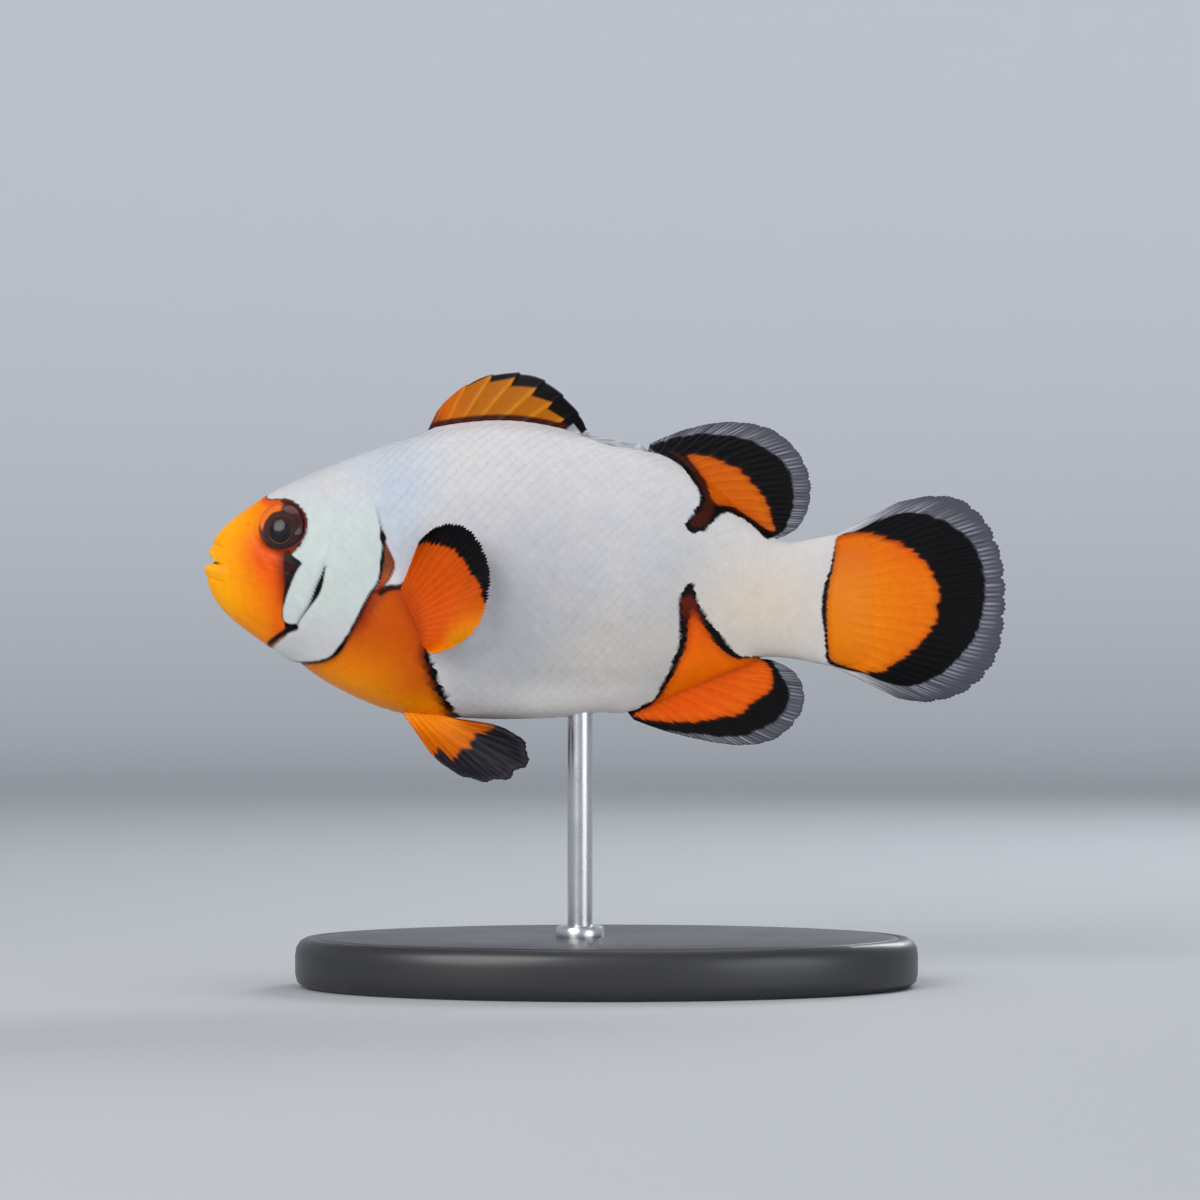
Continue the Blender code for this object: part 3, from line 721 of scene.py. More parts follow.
def buildPiece(name, points, faces, material, colours=None, sharp=None):
    mesh = newMesh(name, points.tolist(), faces, material)
    if colours is not None:
        layer = mesh.attributes.new("paint", "FLOAT_COLOR", "POINT")
        full = np.concatenate([colours, np.ones((len(colours), 1))], axis=1)
        layer.data.foreach_set("color", full.astype(np.float32).ravel())
    mesh.update()
    if sharp is not None:
        mesh.set_sharp_from_angle(angle=math.radians(sharp))
    piece = newObject(name, mesh)
    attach(piece, "root")
    return piece


def gridFaces(rows, columns, first=0, closed=False):
    # quads over a grid of rows by columns of points
    r = np.arange(rows - 1)[:, None] * columns
    c = np.arange(columns if closed else columns - 1)[None, :]
    after = (c + 1) % columns
    return np.stack([r + c, r + after, r + columns + after, r + columns + c], axis=-1).reshape(-1, 4) + first


def ringFaces(rings, around, flip=False):
    # a tube of rings with a cap on each end
    last = (rings - 1) * around
    faces = gridFaces(rings, around, closed=True).tolist()
    faces += [list(range(around - 1, -1, -1)), list(range(last, last + around))]
    return [face[::-1] for face in faces] if flip else faces


def plateFaces(rows, columns):
    # two sheets of points and the wall that joins them round their rim
    count = rows * columns
    sheet = gridFaces(rows, columns)
    grid = np.arange(count).reshape(rows, columns)
    rim = np.concatenate([grid[0, :-1], grid[:-1, -1], grid[-1, :0:-1], grid[:0:-1, 0]])
    ahead = np.roll(rim, -1)
    wall = np.stack([ahead, rim, rim + count, ahead + count], axis=1)
    return np.concatenate([sheet, sheet[:, ::-1] + count, wall])


def loopPoints(mesh):
    corners = np.empty(len(mesh.loops), np.int32)
    mesh.loops.foreach_get("vertex_index", corners)
    return corners


def setMap(mesh, spots):
    layer = mesh.uv_layers.new(name="OFBake")
    layer.uv.foreach_set("vector", spots.astype(np.float32).ravel())


# Skin
skin = {
    "around": 400,  # points round the head; half as many behind it
    "headEnd": 26.0,
    "end": 86.5,
    "mapLength": 87,
    "steps": [(0.0, 0.05), (1.6, 0.10), (4.0, 0.170), (26.0, 0.18), (29.0, 0.48), (87.0, 0.48)],  # x, spacing
    "look": {"roughness": 0.40, "film": 0.025, "mottle": 0.05, "mottleSize": 0.0009, "grain": 0.00022,
             "grainHeight": 0.000012, "softness": 0.06},
}


def ringPlaces():
    # the snout is blunt, so its first rings are spaced by how far they lie from its middle
    places = np.interp(np.arange(0.21, 0.98, 0.05), fineStations, fineX).tolist()
    x = places[-1]
    while x < skin["end"]:
        x += np.interp(x, *zip(*skin["steps"]))
        places.append(x)
    return np.array(places)


def turnPlaces(count):
    # round a ring, closer together on the flanks
    turns = np.linspace(0, 2 * math.pi, 2001)
    ring = bodyPoint(np.full(len(turns), float(stationAt(14))), turns)
    middles = (turns[1:] + turns[:-1]) / 2
    legs = np.linalg.norm(np.diff(ring, axis=0), axis=1) * (1 + 0.6 * np.sin(middles) ** 2)
    run = np.concatenate([[0], np.cumsum(legs)])
    return np.interp(np.linspace(0, run[-1], count, endpoint=False), run, turns)


def makeSkin(material):
    ringX = ringPlaces()
    around = skin["around"]
    turns = turnPlaces(around)
    isHead = ringX < skin["headEnd"]
    points, faces, spots, first = [], [], [], 0
    for places, ring, step in ((ringX[isHead], turns, 1), (ringX[~isHead], turns[::2], 2)):
        points.append(skinPoint(*gridOf(np.maximum(stationAt(places), 0.03), ring)))
        along = (places / skin["mapLength"]) ** 0.75
        spots.append(np.stack(gridOf(along, np.arange(0, around, step) / around), axis=1))
        faces += gridFaces(len(places), len(ring), first, closed=True).tolist()
        first += len(places) * len(ring)
    # every second point of the head's last ring meets one of the next ring
    ahead, behind, coarse = len(points[0]) - around, len(points[0]), around // 2
    for i in range(coarse):
        faces.append([ahead + 2 * i, ahead + 2 * i + 1, behind + i])
        faces.append([ahead + 2 * i + 1, ahead + (2 * i + 2) % around, behind + (i + 1) % coarse, behind + i])
    points = np.concatenate(points)
    snout, end = len(points), len(points) + 1
    faces += [[snout, (i + 1) % around, i] for i in range(around)]
    faces += [[end, snout - coarse + i, snout - coarse + (i + 1) % coarse] for i in range(coarse)]
    points = np.concatenate([points, [points[:around].mean(axis=0), points[-coarse:].mean(axis=0)]])
    colours = paintBody(points[:, [0, 2]], np.zeros(len(points)))
    piece = buildPiece("fish_skin", inMetres(points), faces, material, colours)
    addSkinMap(piece.data, np.concatenate([*spots, [[0, np.nan], [1, np.nan]]]))
    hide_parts("head", "lower_jaw", "gill_cover_left", "gill_cover_right", "trunk", "tail_stalk")
    print(f"skin: {sum(len(face) - 2 for face in faces)} triangles on {len(ringX)} rings")


def addSkinMap(mesh, spots):
    # an unwrap of the body: along it one way, round it the other
    sides = np.empty(len(mesh.polygons), np.int32)
    mesh.polygons.foreach_get("loop_total", sides)
    owner = np.repeat(np.arange(len(sides)), sides)
    along, about = spots[loopPoints(mesh)].T
    low, high = np.ones(len(sides)), np.zeros(len(sides))
    np.minimum.at(low, owner, np.where(np.isnan(about), 1, about))
    np.maximum.at(high, owner, np.where(np.isnan(about), 0, about))
    about = np.where(((high - low) > 0.5)[owner] & (about < 0.5), about + 1, about)
    about = np.where(np.isnan(about), np.roll(about, -1), about)
    setMap(mesh, np.stack([0.01 + 0.98 * along, 0.01 + 0.98 * about], axis=1))


# Scales
scale = {
    "rows": 27,  # from back to belly on each side
    "from": 10.4,
    "to": 83.6,
    "end": 81.2,  # where the last scales thin out, give or take the spread
    "endSpread": 1.8,
    "step": 0.47,  # between columns, as a share of a row's height
    "length": 1.36,  # of the room between two scales of one row
    "lift": 0.030,  # of the free edge over the skin
    "sink": -0.020,
    "thickness": 0.014,
    "headRelief": 0.45,  # how high scales stand on the head, as a share of the body's
    "across": 9,
    "along": 5,
    "patch": 0.003,  # size of a scale on the map
    "sharp": 50,  # degrees between faces that shade apart
    "lateralLine": [(22.5, 9.5), (28, 13.2), (36, 15.0), (45, 14.2), (53, 12.2), (59, 9.0), (64, 5.0)],
    "look": {"roughness": 0.38, "film": 0.02, "mottle": 0.035, "mottleSize": 0.0012, "grain": 0.00016,
             "grainHeight": 0.000006, "softness": 0.0},
}
lateralLine = smoothLine(scale["lateralLine"])
rodX = (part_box("stand_rod")[0].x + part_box("stand_rod")[1].x) / 2
rodPercent = (rodX - snoutX) / fish["percent"]


def scaleColumns():
    # roots of every scale on one side: station, turn, row height and column
    found = []
    x, column = scale["from"], 0
    turns = np.linspace(0, math.pi, 181)
    while x < scale["to"]:
        station = float(stationAt(x))
        run = runOf(bodyPoint(np.full(len(turns), station), turns))
        height = run[-1] / scale["rows"]
        places = (np.arange(scale["rows"]) + (0.25 if column % 2 else 0.75)) * height
        found += [(station, turn, height, column) for turn in np.interp(places, run, turns)]
        x += height * scale["step"]
        column += 1
    return np.array(found)


def scalesKept(root, tip, y, normalZ):
    # bare places: face, eye, edges of the gill cover, slit, fin roots and rod
    x, z = root.T
    kept = (inside(root, loops["face"]) < -0.8) & (distanceTo(root, head["eye"]) > 4.6)
    for flat in (root, tip):
        gap, share, _ = toLine(flat, gillEdge)
        kept &= (gap >= 0.42) | (share <= 0.03)
        kept &= toLine(flat, slitLine)[0] > 0.95
        kept &= inside(flat, flapLoop) < -0.1
        kept &= toLine(flat, pectoralLine)[0] > 1.0
    gap, _, side = toLine(root, gillEdge)
    finned = ((normalZ > 0) & (x > 27) & (x < 71)) | ((normalZ < 0) & (x > 50))
    for bare in (
        (side != toLine(tip, gillEdge)[2]) & (gap < 2) & (z < 10.4),
        (x > 21) & (x < 27) & (z > -2.5) & (z < 1.8),
        (side > 0) & (gap < 2.0) & (z > -1) & (z < 5.5),
        (side < 0) & (x < 15.8) & (z < 5.5) & (z > -6.5),
        finned & (np.abs(y) < 0.45),
        (normalZ < 0) & (np.hypot(x + 0.6 - rodPercent, y) < 2.1),
    ):
        kept &= ~bare
    return kept


def makeScales(material):
    station, turn, height, column = scaleColumns().T
    random = np.random.default_rng(7)
    xi, eta = gridOf(np.linspace(0, 1, scale["along"]), np.linspace(-1, 1, scale["across"]))
    outline = xi * (1 - 0.46 * np.abs(eta) ** 2.4 * xi)  # a round free edge
    half = eta * (0.54 - 0.06 * xi**2)
    perScale = len(xi)
    centre = 3 * scale["across"] + scale["across"] // 2
    step = 1e-3
    here = bodyPoint(station, turn)
    perStation = np.linalg.norm(bodyPoint(station + step, turn) - here, axis=1) / step
    perTurn = np.linalg.norm(bodyPoint(station, turn + step) - here, axis=1) / step
    for side, word in ((1, "left"), (-1, "right")):
        jitter = random.uniform(-1, 1, (4, len(station)))
        length = height * scale["step"] * 2 * scale["length"] * (1 + 0.05 * jitter[0])
        # each corner's place on the body, then the skin there
        cornerStation = station[:, None] + (length / perStation)[:, None] * outline
        cornerTurn = turn[:, None] + (height / perTurn)[:, None] * (half + 0.02 * jitter[1][:, None])
        tip = bodyPoint(station + length / perStation, turn)[:, [0, 2]]
        kept = scalesKept(here[:, [0, 2]], tip, here[:, 1], outward(station, turn)[:, 2])
        kept &= here[:, 0] < scale["end"] + scale["endSpread"] * jitter[3]
        shade, _, rough, tint = jitter[:, kept]
        cornerStation = np.minimum(cornerStation[kept].ravel(), lastStation - 0.01)
        cornerTurn = side * cornerTurn[kept].ravel()
        skinHere = skinPoint(cornerStation, cornerTurn)
        normal = outward(cornerStation, cornerTurn)
        x, z = here[kept][:, 0], here[kept][:, 2]
        small = (height[kept] / height.max()) ** 0.7 * mix(scale["headRelief"], 1, ramp(19, 27, x + 0.25 * z))
        small = small * mix(1, 0.25, ramp(77.0, 82.0, x))
        rise = scale["sink"] + (scale["lift"] - scale["sink"]) * xi + 0.008 * (1 - eta**2)
        rise = (rise[None, :] * small[:, None] * (1 + 0.12 * rough[:, None])).ravel()
        # pores of the lateral line
        flat = skinHere[:, [0, 2]]
        root = np.repeat(flat.reshape(-1, perScale, 2)[:, centre], perScale, axis=0)
        pore = hump(toLine(root, lateralLine)[0], 0.55) * hump(np.tile(eta, len(x)), 0.35)
        rise = rise + 0.05 * pore * ramp(0.2, 0.6, np.tile(xi, len(x)))
        top = skinHere + normal * rise[:, None]
        thick = scale["thickness"] * np.repeat(small, perScale) * np.tile(1 - 0.6 * xi, len(x))
        bottom = top - normal * thick[:, None]
        colours = paintBody(mix(flat, root, 0.35), 0.06 * np.repeat(tint, perScale))
        # each scale gets a random tone, and darkens towards its free edge: partly its own faint outline,
        # partly painted shade at the step onto the next scale
        rim = np.maximum(ramp(0.70, 1.0, xi), ramp(0.70, 1.0, np.abs(eta)) * ramp(0.3, 0.6, xi))
        colours = colours * (1 + 0.02 * np.repeat(shade, perScale) - 0.045 * np.tile(rim, len(x)))[:, None]
        place = np.stack([column[kept] / (column.max() + 1), turn[kept] / math.pi], axis=1)
        upper, fore = place[:, 1] < 0.5, place[:, 0] < np.median(place[:, 0])
        for quarter, part in (("upper_front", upper & fore), ("upper_rear", upper & ~fore),
                              ("lower_front", ~upper & fore), ("lower_rear", ~upper & ~fore)):
            sheets = [values.reshape(-1, perScale, 3)[part] for values in (top, bottom, colours)]
            buildScales(f"scales_{word}_{quarter}", sheets, place[part], xi, eta, side, material)


def buildScales(name, sheets, place, xi, eta, side, material):
    top, bottom, colours = sheets
    count = len(place)
    one = plateFaces(scale["along"], scale["across"])
    if side > 0:
        one = one[:, ::-1]
    faces = (np.arange(count)[:, None, None] * 2 * len(xi) + one).reshape(-1, 4)
    points = inMetres(np.concatenate([top, bottom], axis=1).reshape(-1, 3))
    paint = np.concatenate([colours, colours], axis=1).reshape(-1, 3)
    piece = buildPiece(name, points, faces.tolist(), material, paint, scale["sharp"])
    # each scale is a small patch of the map, where its root lies on the unwrapped side
    local = np.tile(np.stack([xi, (eta + 1) / 2], axis=1) * scale["patch"], (2, 1))
    spots = 0.01 + 0.975 * place[:, None, :] + local[None, :, :]
    setMap(piece.data, spots.reshape(-1, 2)[loopPoints(piece.data)])
    print(f"{name}: {count} scales, {2 * len(faces)} triangles")


# Fins
def rootLine(shape, shares):
    if "base" in shape:
        return evenly(shape["base"], shares)
    x = mix(shape["from"], shape["to"], shares)
    back, belly, _ = sectionAt(x)
    z, out = (back, 1) if shape["along"] == "back" else (belly, -1)
    return np.stack([x, z - out * shape["sunk"]], axis=1)


def rayCount(u, shape):
    # how many rays lie before u, where each ray's crest is at a half; spines aren't evenly spread
    spines = shape.get("spines")
    if not spines:
        return u * shape["rays"]
    return np.interp(u, [0, *spines, 1], [0, *(np.arange(len(spines)) + 0.5), len(spines)])


def rayPattern(u, v, shape):
    # 1 on a ray's crest, falling to 0 between rays; soft rays branch twice towards the edge
    across = rayCount(u, shape) % 1 - 0.5
    if not shape["branches"]:
        return hump(across, shape["rayWidth"] * (1.05 - 0.6 * v))
    first, second = shape["branches"]
    off = np.abs(np.abs(np.abs(across) - 0.25 * ramp(*first, v)) - 0.125 * ramp(*second, v))
    return hump(off, mix(shape["rayWidth"], 0.055, ramp(first[0], 1.0, v)))


def saw(u, shape):
    # falls sharply behind each spine and climbs slowly to the next: 0 on a spine, up to 1
    behind = (rayCount(u, shape) - 0.5) % 1
    long = ramp(0.0, 0.14, behind) * (1 - behind) ** 0.9
    short = np.minimum(np.minimum(behind / 0.42, (1 - behind) / 0.58), 1)
    return mix(long, short, ramp(0.60, 0.66, u))


def columnShares(shape):
    # where each column starts along the root and ends along the edge
    fine = np.linspace(0, 1, 400)
    tips = shape.get("tips", [0, 0.5, 1])
    ends = through(tips, fine * (len(tips) - 1))
    balance = (fine + ends) / 2
    u = np.linspace(0, 1, shape["columns"] + 1)
    return u, np.interp(u, balance, fine), np.interp(u, balance, ends)


def edgeDip(u, shape):
    # how far the edge falls back between rays
    if not shape["branches"]:
        return mix(shape["dip"], shape["hindDip"], ramp(0.64, 0.74, u)) * saw(u, shape)
    dip = shape["dip"] * np.abs(np.cos(math.pi * u * shape["rays"])) ** shape["dipShape"]
    return dip + shape["fringe"] * (0.5 + 0.5 * np.cos(8 * math.pi * u * shape["rays"]))


def halfThickness(u, v, shape, ridge, flat, span):
    # of a fin: rays over the web, a flare at the root and a thin rim
    rootShare = np.exp(-v * span / shape["flareLength"])
    flare = shape["flare"] * rootShare * np.clip(4 * u * (1 - u), 0, 1) ** 0.5
    rayHalf = mix(shape["rayHalf"], shape["tipHalf"], v)
    pitch = np.linalg.norm(np.gradient(flat, axis=1), axis=-1) * shape["columns"] / shape["rays"]
    half = shape["webHalf"] + (rayHalf - shape["webHalf"]) * ridge * np.clip(pitch / 1.3, 0.1, 1) + flare
    rim = np.minimum(1 - v, np.minimum(u, 1 - u) * 6)
    return half * (0.25 + 0.75 * np.sqrt(np.clip(rim / 0.03, 0, 1)))


def makeFin(name, node, shape, sway, paint, material):
    columns, rootShares, edgeShares = columnShares(shape)
    v, u = np.meshgrid(np.linspace(0, 1, shape["rowsUp"] + 1), columns, indexing="ij")
    base = rootLine(shape, rootShares)
    edge = evenly(shape["edge"], edgeShares)
    ridge = rayPattern(u, v, shape)
    reach = v * (1 - v**3 * edgeDip(u, shape) * uneven(u, shape["rays"], shape["seed"], 0.6, 1.4))
    flat = base[None] + (edge - base)[None] * reach[..., None]
    centre = np.stack([flat[..., 0], sway(u, v), flat[..., 1]], axis=-1)
    normal = unit(np.cross(np.gradient(centre, axis=0), np.gradient(centre, axis=1)), 1e-9)
    normal *= np.sign(normal[..., 1:2].mean())
    half = halfThickness(u, v, shape, ridge, flat, np.linalg.norm(edge - base, axis=1)[None])[..., None]
    points = np.concatenate([(centre + side * half * normal).reshape(-1, 3) for side in (1, -1)])
    quads = plateFaces(*v.shape)
    if signedVolume(points, quads) < 0:
        quads = quads[:, ::-1]
    colours = paint(flat.reshape(-1, 2), u.ravel(), v.ravel(), ridge.ravel())
    paint = np.concatenate([colours, colours])
    piece = buildPiece(name, inMetres(points), quads.tolist(), material, paint)
    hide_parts(node)
    print(f"{name}: {2 * len(quads)} triangles")


def signedVolume(points, quads):
    a, b, c, d = (points[quads[:, i]] for i in range(4))
    return (np.einsum("ij,ij->i", a, np.cross(b, c)) + np.einsum("ij,ij->i", a, np.cross(c, d))).sum()


finLook = {"roughness": 0.45, "film": 0.0, "mottle": 0.07, "mottleSize": 0.0007, "grain": 0.00018,
           "grainHeight": 0.000008, "softness": 0.0}
softRay = {
    "branches": ((0.35, 0.62), (0.58, 0.85)),  # where each of the two branchings starts and ends
    "rayWidth": 0.17, "dip": 0.012, "dipShape": 6, "fringe": 0.008, "webHalf": 0.12, "rayHalf": 0.22,
    "tipHalf": 0.14, "flare": 0.40, "flareLength": 1.2, "sunk": 0.7,
}
spinyDorsal = {
    **softRay, "along": "back", "from": 27.3, "to": 55.2, "rays": 11, "columns": 308, "rowsUp": 44,
    "spines": [0.035, 0.118, 0.205, 0.294, 0.398, 0.495, 0.59, 0.68, 0.765, 0.855, 0.955],
    "edge": [
        (28.9, 21.6), (30.2, 23.2), (32.3, 24.8), (35.5, 26.2), (39.2, 26.5), (42.0, 25.7), (44.3, 24.0),
        (46.0, 22.2), (47.1, 20.6), (47.8, 19.3), (49.6, 18.3), (51.6, 17.95), (54.0, 17.6), (55.2, 17.2),
    ],
    "tips": [0, 0.365, 0.565, 0.755, 0.885, 1], "branches": None, "rayWidth": 0.15, "dip": 0.03,
    "hindDip": 0.42, "rayHalf": 0.27, "tipHalf": 0.15, "seed": 1,
}
softDorsal = {
    **softRay, "along": "back", "from": 55.0, "to": 70.4, "rays": 15, "columns": 320, "rowsUp": 60,
    "edge": [
        (55.4, 17.6), (57.7, 18.6), (60.2, 19.5), (63.5, 20.2), (66.8, 20.3), (70.2, 19.6), (72.6, 18.0),
        (74.3, 15.9), (75.4, 13.0), (75.2, 9.8), (73.9, 7.2), (72.1, 6.1),
    ],
    "tips": [0, 0.42, 0.68, 0.83, 0.925, 1], "flare": 0.55, "flareLength": 1.8, "teeth": 0.34, "seed": 2,
}
analFin = {
    **softRay, "along": "belly", "from": 51.8, "to": 67.4, "rays": 14, "columns": 300, "rowsUp": 56,
    "edge": [
        (53.4, -16.8), (57.3, -18.2), (61.8, -19.3), (65.6, -19.9), (68.2, -19.9), (70.8, -19.3),
        (73.1, -17.6), (74.5, -15.4), (74.6, -13.0), (73.7, -11.1), (72.0, -9.9), (70.2, -9.4),
    ],
    "tips": [0, 0.36, 0.62, 0.79, 0.91, 1], "flare": 0.60, "flareLength": 2.2, "teeth": 0.22, "seed": 3,
}
tailFin = {
    **softRay, "rays": 18, "columns": 396, "rowsUp": 84,
    "base": [(77.2, 5.8), (77.2, -1.9), (77.2, -9.7)],
    "edge": [
        (86.6, 10.4), (91.0, 11.2), (94.8, 10.5), (98.0, 7.3), (99.7, 2.0), (99.7, -4.5), (98.4, -9.6),
        (95.2, -13.1), (90.6, -14.6), (86.6, -14.2),
    ],
    "flare": 0.45, "flareLength": 5.0, "teeth": 0.36, "seed": 4,
}
pectoralFin = {
    **softRay, "rays": 16, "columns": 256, "rowsUp": 52,
    "base": [(24.7, -0.6), (25.9, -3.1), (26.9, -5.4), (27.5, -7.6)],
    "edge": [
        (27.3, 5.4), (29.0, 6.9), (31.1, 7.5), (33.3, 6.8), (35.0, 4.6), (35.9, 1.2), (35.6, -1.9),
        (34.4, -5.0), (32.5, -7.0), (30.0, -8.1), (28.5, -8.4),
    ],
    "branches": ((0.4, 0.75), (0.7, 0.95)), "dip": 0.015, "fringe": 0.032, "webHalf": 0.10, "rayHalf": 0.165,
    "tipHalf": 0.10, "flare": 0.45, "flareLength": 1.4, "seed": 5,
}
pelvicFin = {
    **softRay, "rays": 7, "columns": 168, "rowsUp": 60,
    "base": [(24.7, -15.9), (29.8, -16.4)],
    "edge": [
        (28.5, -21.0), (30.8, -22.9), (33.4, -24.1), (36.1, -24.4), (38.6, -23.8), (40.2, -22.4),
        (40.4, -20.5), (38.7, -18.7), (35.8, -17.5),
    ],
    "branches": ((0.35, 0.65), (0.6, 0.9)), "rayWidth": 0.20, "dip": 0.04, "dipShape": 2, "flare": 0.35,
    "flareLength": 1.4, "seed": 6,
}


def waving(amount, waves):
    return lambda u, v: amount * v * np.sin(waves * math.pi * u)


def sideSway(side, start, spread):
    def sway(u, v):
        lean = v * math.tan(spread) * fins["sideLength"]
        return side * (start(u) + lean + fins["wave"] * v * np.sin(3 * math.pi * u))

    return sway


def pectoralStart(u):
    shares = np.linspace(0, 1, 41)
    return np.interp(u, shares, halfWidthAt(*evenly(pectoralFin["base"], shares).T)) - 0.15


def teeth(u, ridge, shape, size):
    # pigment runs further out along some rays than along others
    each = uneven(u, shape["rays"] * 4, shape["seed"] + 40, -1, 1)
    return size * (0.55 * each + 0.6 * (ridge - 0.4))


def paintVeil(flat, u, ridge, shape, beyond):
    # the pale see-through edge: light streaks on the rays near the dark band, plain grey further out
    each = uneven(u, shape["rays"] * 8, shape["seed"] + 60, 0.1, 1.0)
    streak = np.clip(1.1 * ridge * each**1.5, 0, 1) * ramp(2.5, 0.6, beyond)
    gap = (1 - ridge) * ramp(2.2, 0.5, beyond) * np.clip(1.2 - each, 0, 1)
    return plain("veil", flat, ("veilDark", 0.6 * gap), ("veilLight", streak))


def paintBanded(kind, shape):
    def paint(flat, u, v, ridge):
        beyond = -inside(flat, loops[patches[kind]["dark"]], 4.0)
        colour = paintVeil(flat, u, ridge, shape, beyond)
        if kind == "tail":
            colour = lay(colour, ("white", ramp(88, 79, flat[:, 0]) * (0.7 + 0.3 * ridge)))
        if kind == "anal":
            colour = lay(colour, ("black", ramp(57, 54.5, flat[:, 0])))
        far = ramp(0.2, 0.5, v)
        darkPush, orangePush = [teeth(u, ridge, shape, size) * far for size in (0.24, shape["teeth"])]
        return paintPatch(colour, flat, kind, darkPush, orangePush, ridge * far)

    return paint


def paintSpiny(flat, u, v, ridge):
    x, z = flat.T
    drop = saw(u, spinyDorsal)
    # orange reaches out along each spine into the black edge
    limit = np.interp(u, [0.10, 0.118, 0.205, 0.294, 0.398, 0.495, 0.59, 0.68, 0.74],
                      [1.1, 1.0, 0.99, 0.90, 0.83, 0.76, 0.64, 0.38, -0.1])
    limit = limit - 0.15 * ramp(0.08, 0.25, u) * drop
    # the low white hind part
    notch = np.interp(x, [44.2, 45.9, 46.9, 47.5, 48.0, 48.4], [18.9, 20.1, 18.8, 19.3, 19.7, 25])
    pale = plain(
        "veilLight", flat,
        # lighter on the ray crests: partly the rays' own paler colour, partly a painted highlight
        ("white", 0.30 + 0.5 * ridge * ramp(0.2, 0.6, v)),
        # painted shade: greyer behind each spine, climbing to the next
        ("veil", 0.45 * drop * ramp(0.1, 0.6, v)),
    )
    back = sectionAt(x)[0]
    return plain(
        "spiny", flat,
        ("dorsal", ramp(35, 29, x) * 0.8),
        # painted shade: each membrane darkens from its spine towards the next
        ("olive", 0.28 * drop * ramp(30, 34, x)),
        # lighter on the ray crests: partly the rays' own paler colour, partly a painted highlight
        ("spine", 0.26 * ridge),
        ("umber", 0.6 * ramp(30.2, 28.4, x) * ramp(23.0, 20.5, z)),
        ("black", ramp(limit - 0.025, limit + 0.025, v)),
        ("veilLight", 0.8 * ramp(0.975, 0.99, v) * ramp(34, 37, x)),
        (pale, ramp(0.14, -0.14, z - notch) * (x > 44)),
        ("umber", ramp(1.15, 0.75, z - back) * ramp(45.4, 44.6, x)),
    )


def paintPectoral(flat, u, v, ridge):
    x, z = flat.T
    depth = inside(flat, loops["pectoralOrange"]) + teeth(u, ridge, pectoralFin, 0.40)
    orange = plain(
        "pectoral", flat,
        ("pectoralEdge", ramp(0.35, 1.0, v) * ramp(0.4, 0.9, u)),
        ("pectoralEdge", 0.16 * ridge),
        ("pectoralGold", 0.7 * ramp(-3.5, -7.0, z) * ramp(29.5, 32.5, x)),
        # painted shade: the fin darkens towards its root against the body
        ("pectoralRoot", 0.7 * ramp(0.22, 0.0, v)),
        ("rust", 0.26 * ramp(30.5, 34.5, x) * ramp(-5.0, -2.5, z)),
    )
    return plain("black", flat, ("smoke", ridge * 0.6), (orange, ramp(-0.2, 0.2, depth)))


def paintPelvic(flat, u, v, ridge):
    depth = inside(flat, loops["pelvicOrange"]) + teeth(u, ridge, pelvicFin, 0.5)
    # lighter on the ray crests: partly the rays' own paler colour, partly a painted highlight
    orange = plain("belly", flat, ("pelvicTip", ramp(0.0, 0.6, v) * 0.85), ("spine", 0.20 * ridge))
    return plain(
        "smoke", flat,
        ("veil", 0.22 * ridge),
        ("veil", 0.2 * ramp(0.90, 0.99, v)),
        (orange, ramp(-0.35, 0.35, depth)),
    )


def makeFins(material):
    wave = fins["wave"]
    made = [
        ("fin_dorsal_spiny", "dorsal_fin_spiny", spinyDorsal, waving(wave, 3), paintSpiny),
        ("fin_dorsal_soft", "dorsal_fin_soft", softDorsal, waving(wave, 2), paintBanded("soft", softDorsal)),
        ("fin_anal", "anal_fin", analFin, waving(-wave, 2), paintBanded("anal", analFin)),
        ("fin_tail", "tail_fin", tailFin, tailSway, paintBanded("tail", tailFin)),
    ]
    for side, word in ((-1, "left"), (1, "right")):
        chest = sideSway(side, pectoralStart, fins["pectoralSpread"])
        belly = sideSway(side, lambda u: fins["pelvicStart"] + 0 * u, fins["pelvicSpread"])
        made.append((f"fin_pectoral_{word}", f"pectoral_fin_{word}", pectoralFin, chest, paintPectoral))
        made.append((f"fin_pelvic_{word}", f"pelvic_fin_{word}", pelvicFin, belly, paintPelvic))
    for name, node, shape, sway, paint in made:
        makeFin(name, node, shape, sway, paint, material)


# Eyes: millimetres, with x towards the tail and z up
eye = {
    "radius": 2.45,
    "bulge": 0.84,  # of the cornea over the cheek
    "curve": 3.3,  # radius of the cornea's dome
    "up": math.radians(18),
    "forward": math.radians(10),
    "pupil": 1.1,
    "pupilShift": (-0.10, -0.80),
    "wall": 1.3,  # how far the rim goes down into the socket
    "wallWidth": 0.02,
    "clearRadius": 2.36,
    "ballAround": 112,
    "clearAround": 80,
}


def eyePlace(side, local):
    # local points, outwards along -y, put into the head on either side
    tilt, turn = side * eye["up"], side * eye["forward"]
    x, y, z = local.T / 1000
    y = y * -side
    y, z = y * math.cos(tilt) - z * math.sin(tilt), y * math.sin(tilt) + z * math.cos(tilt)
    x, y = x * math.cos(turn) - y * math.sin(turn), x * math.sin(turn) + y * math.cos(turn)
    eyeX, eyeZ = head["eye"]
    across = halfWidthAt(np.array([eyeX]), np.array([eyeZ]))[0]
    return np.stack([x, y, z], axis=1) + inMetres([eyeX, side * across, eyeZ])


def corneaHeight(r):
    return eye["bulge"] - eye["curve"] + np.sqrt(eye["curve"] ** 2 - r**2)


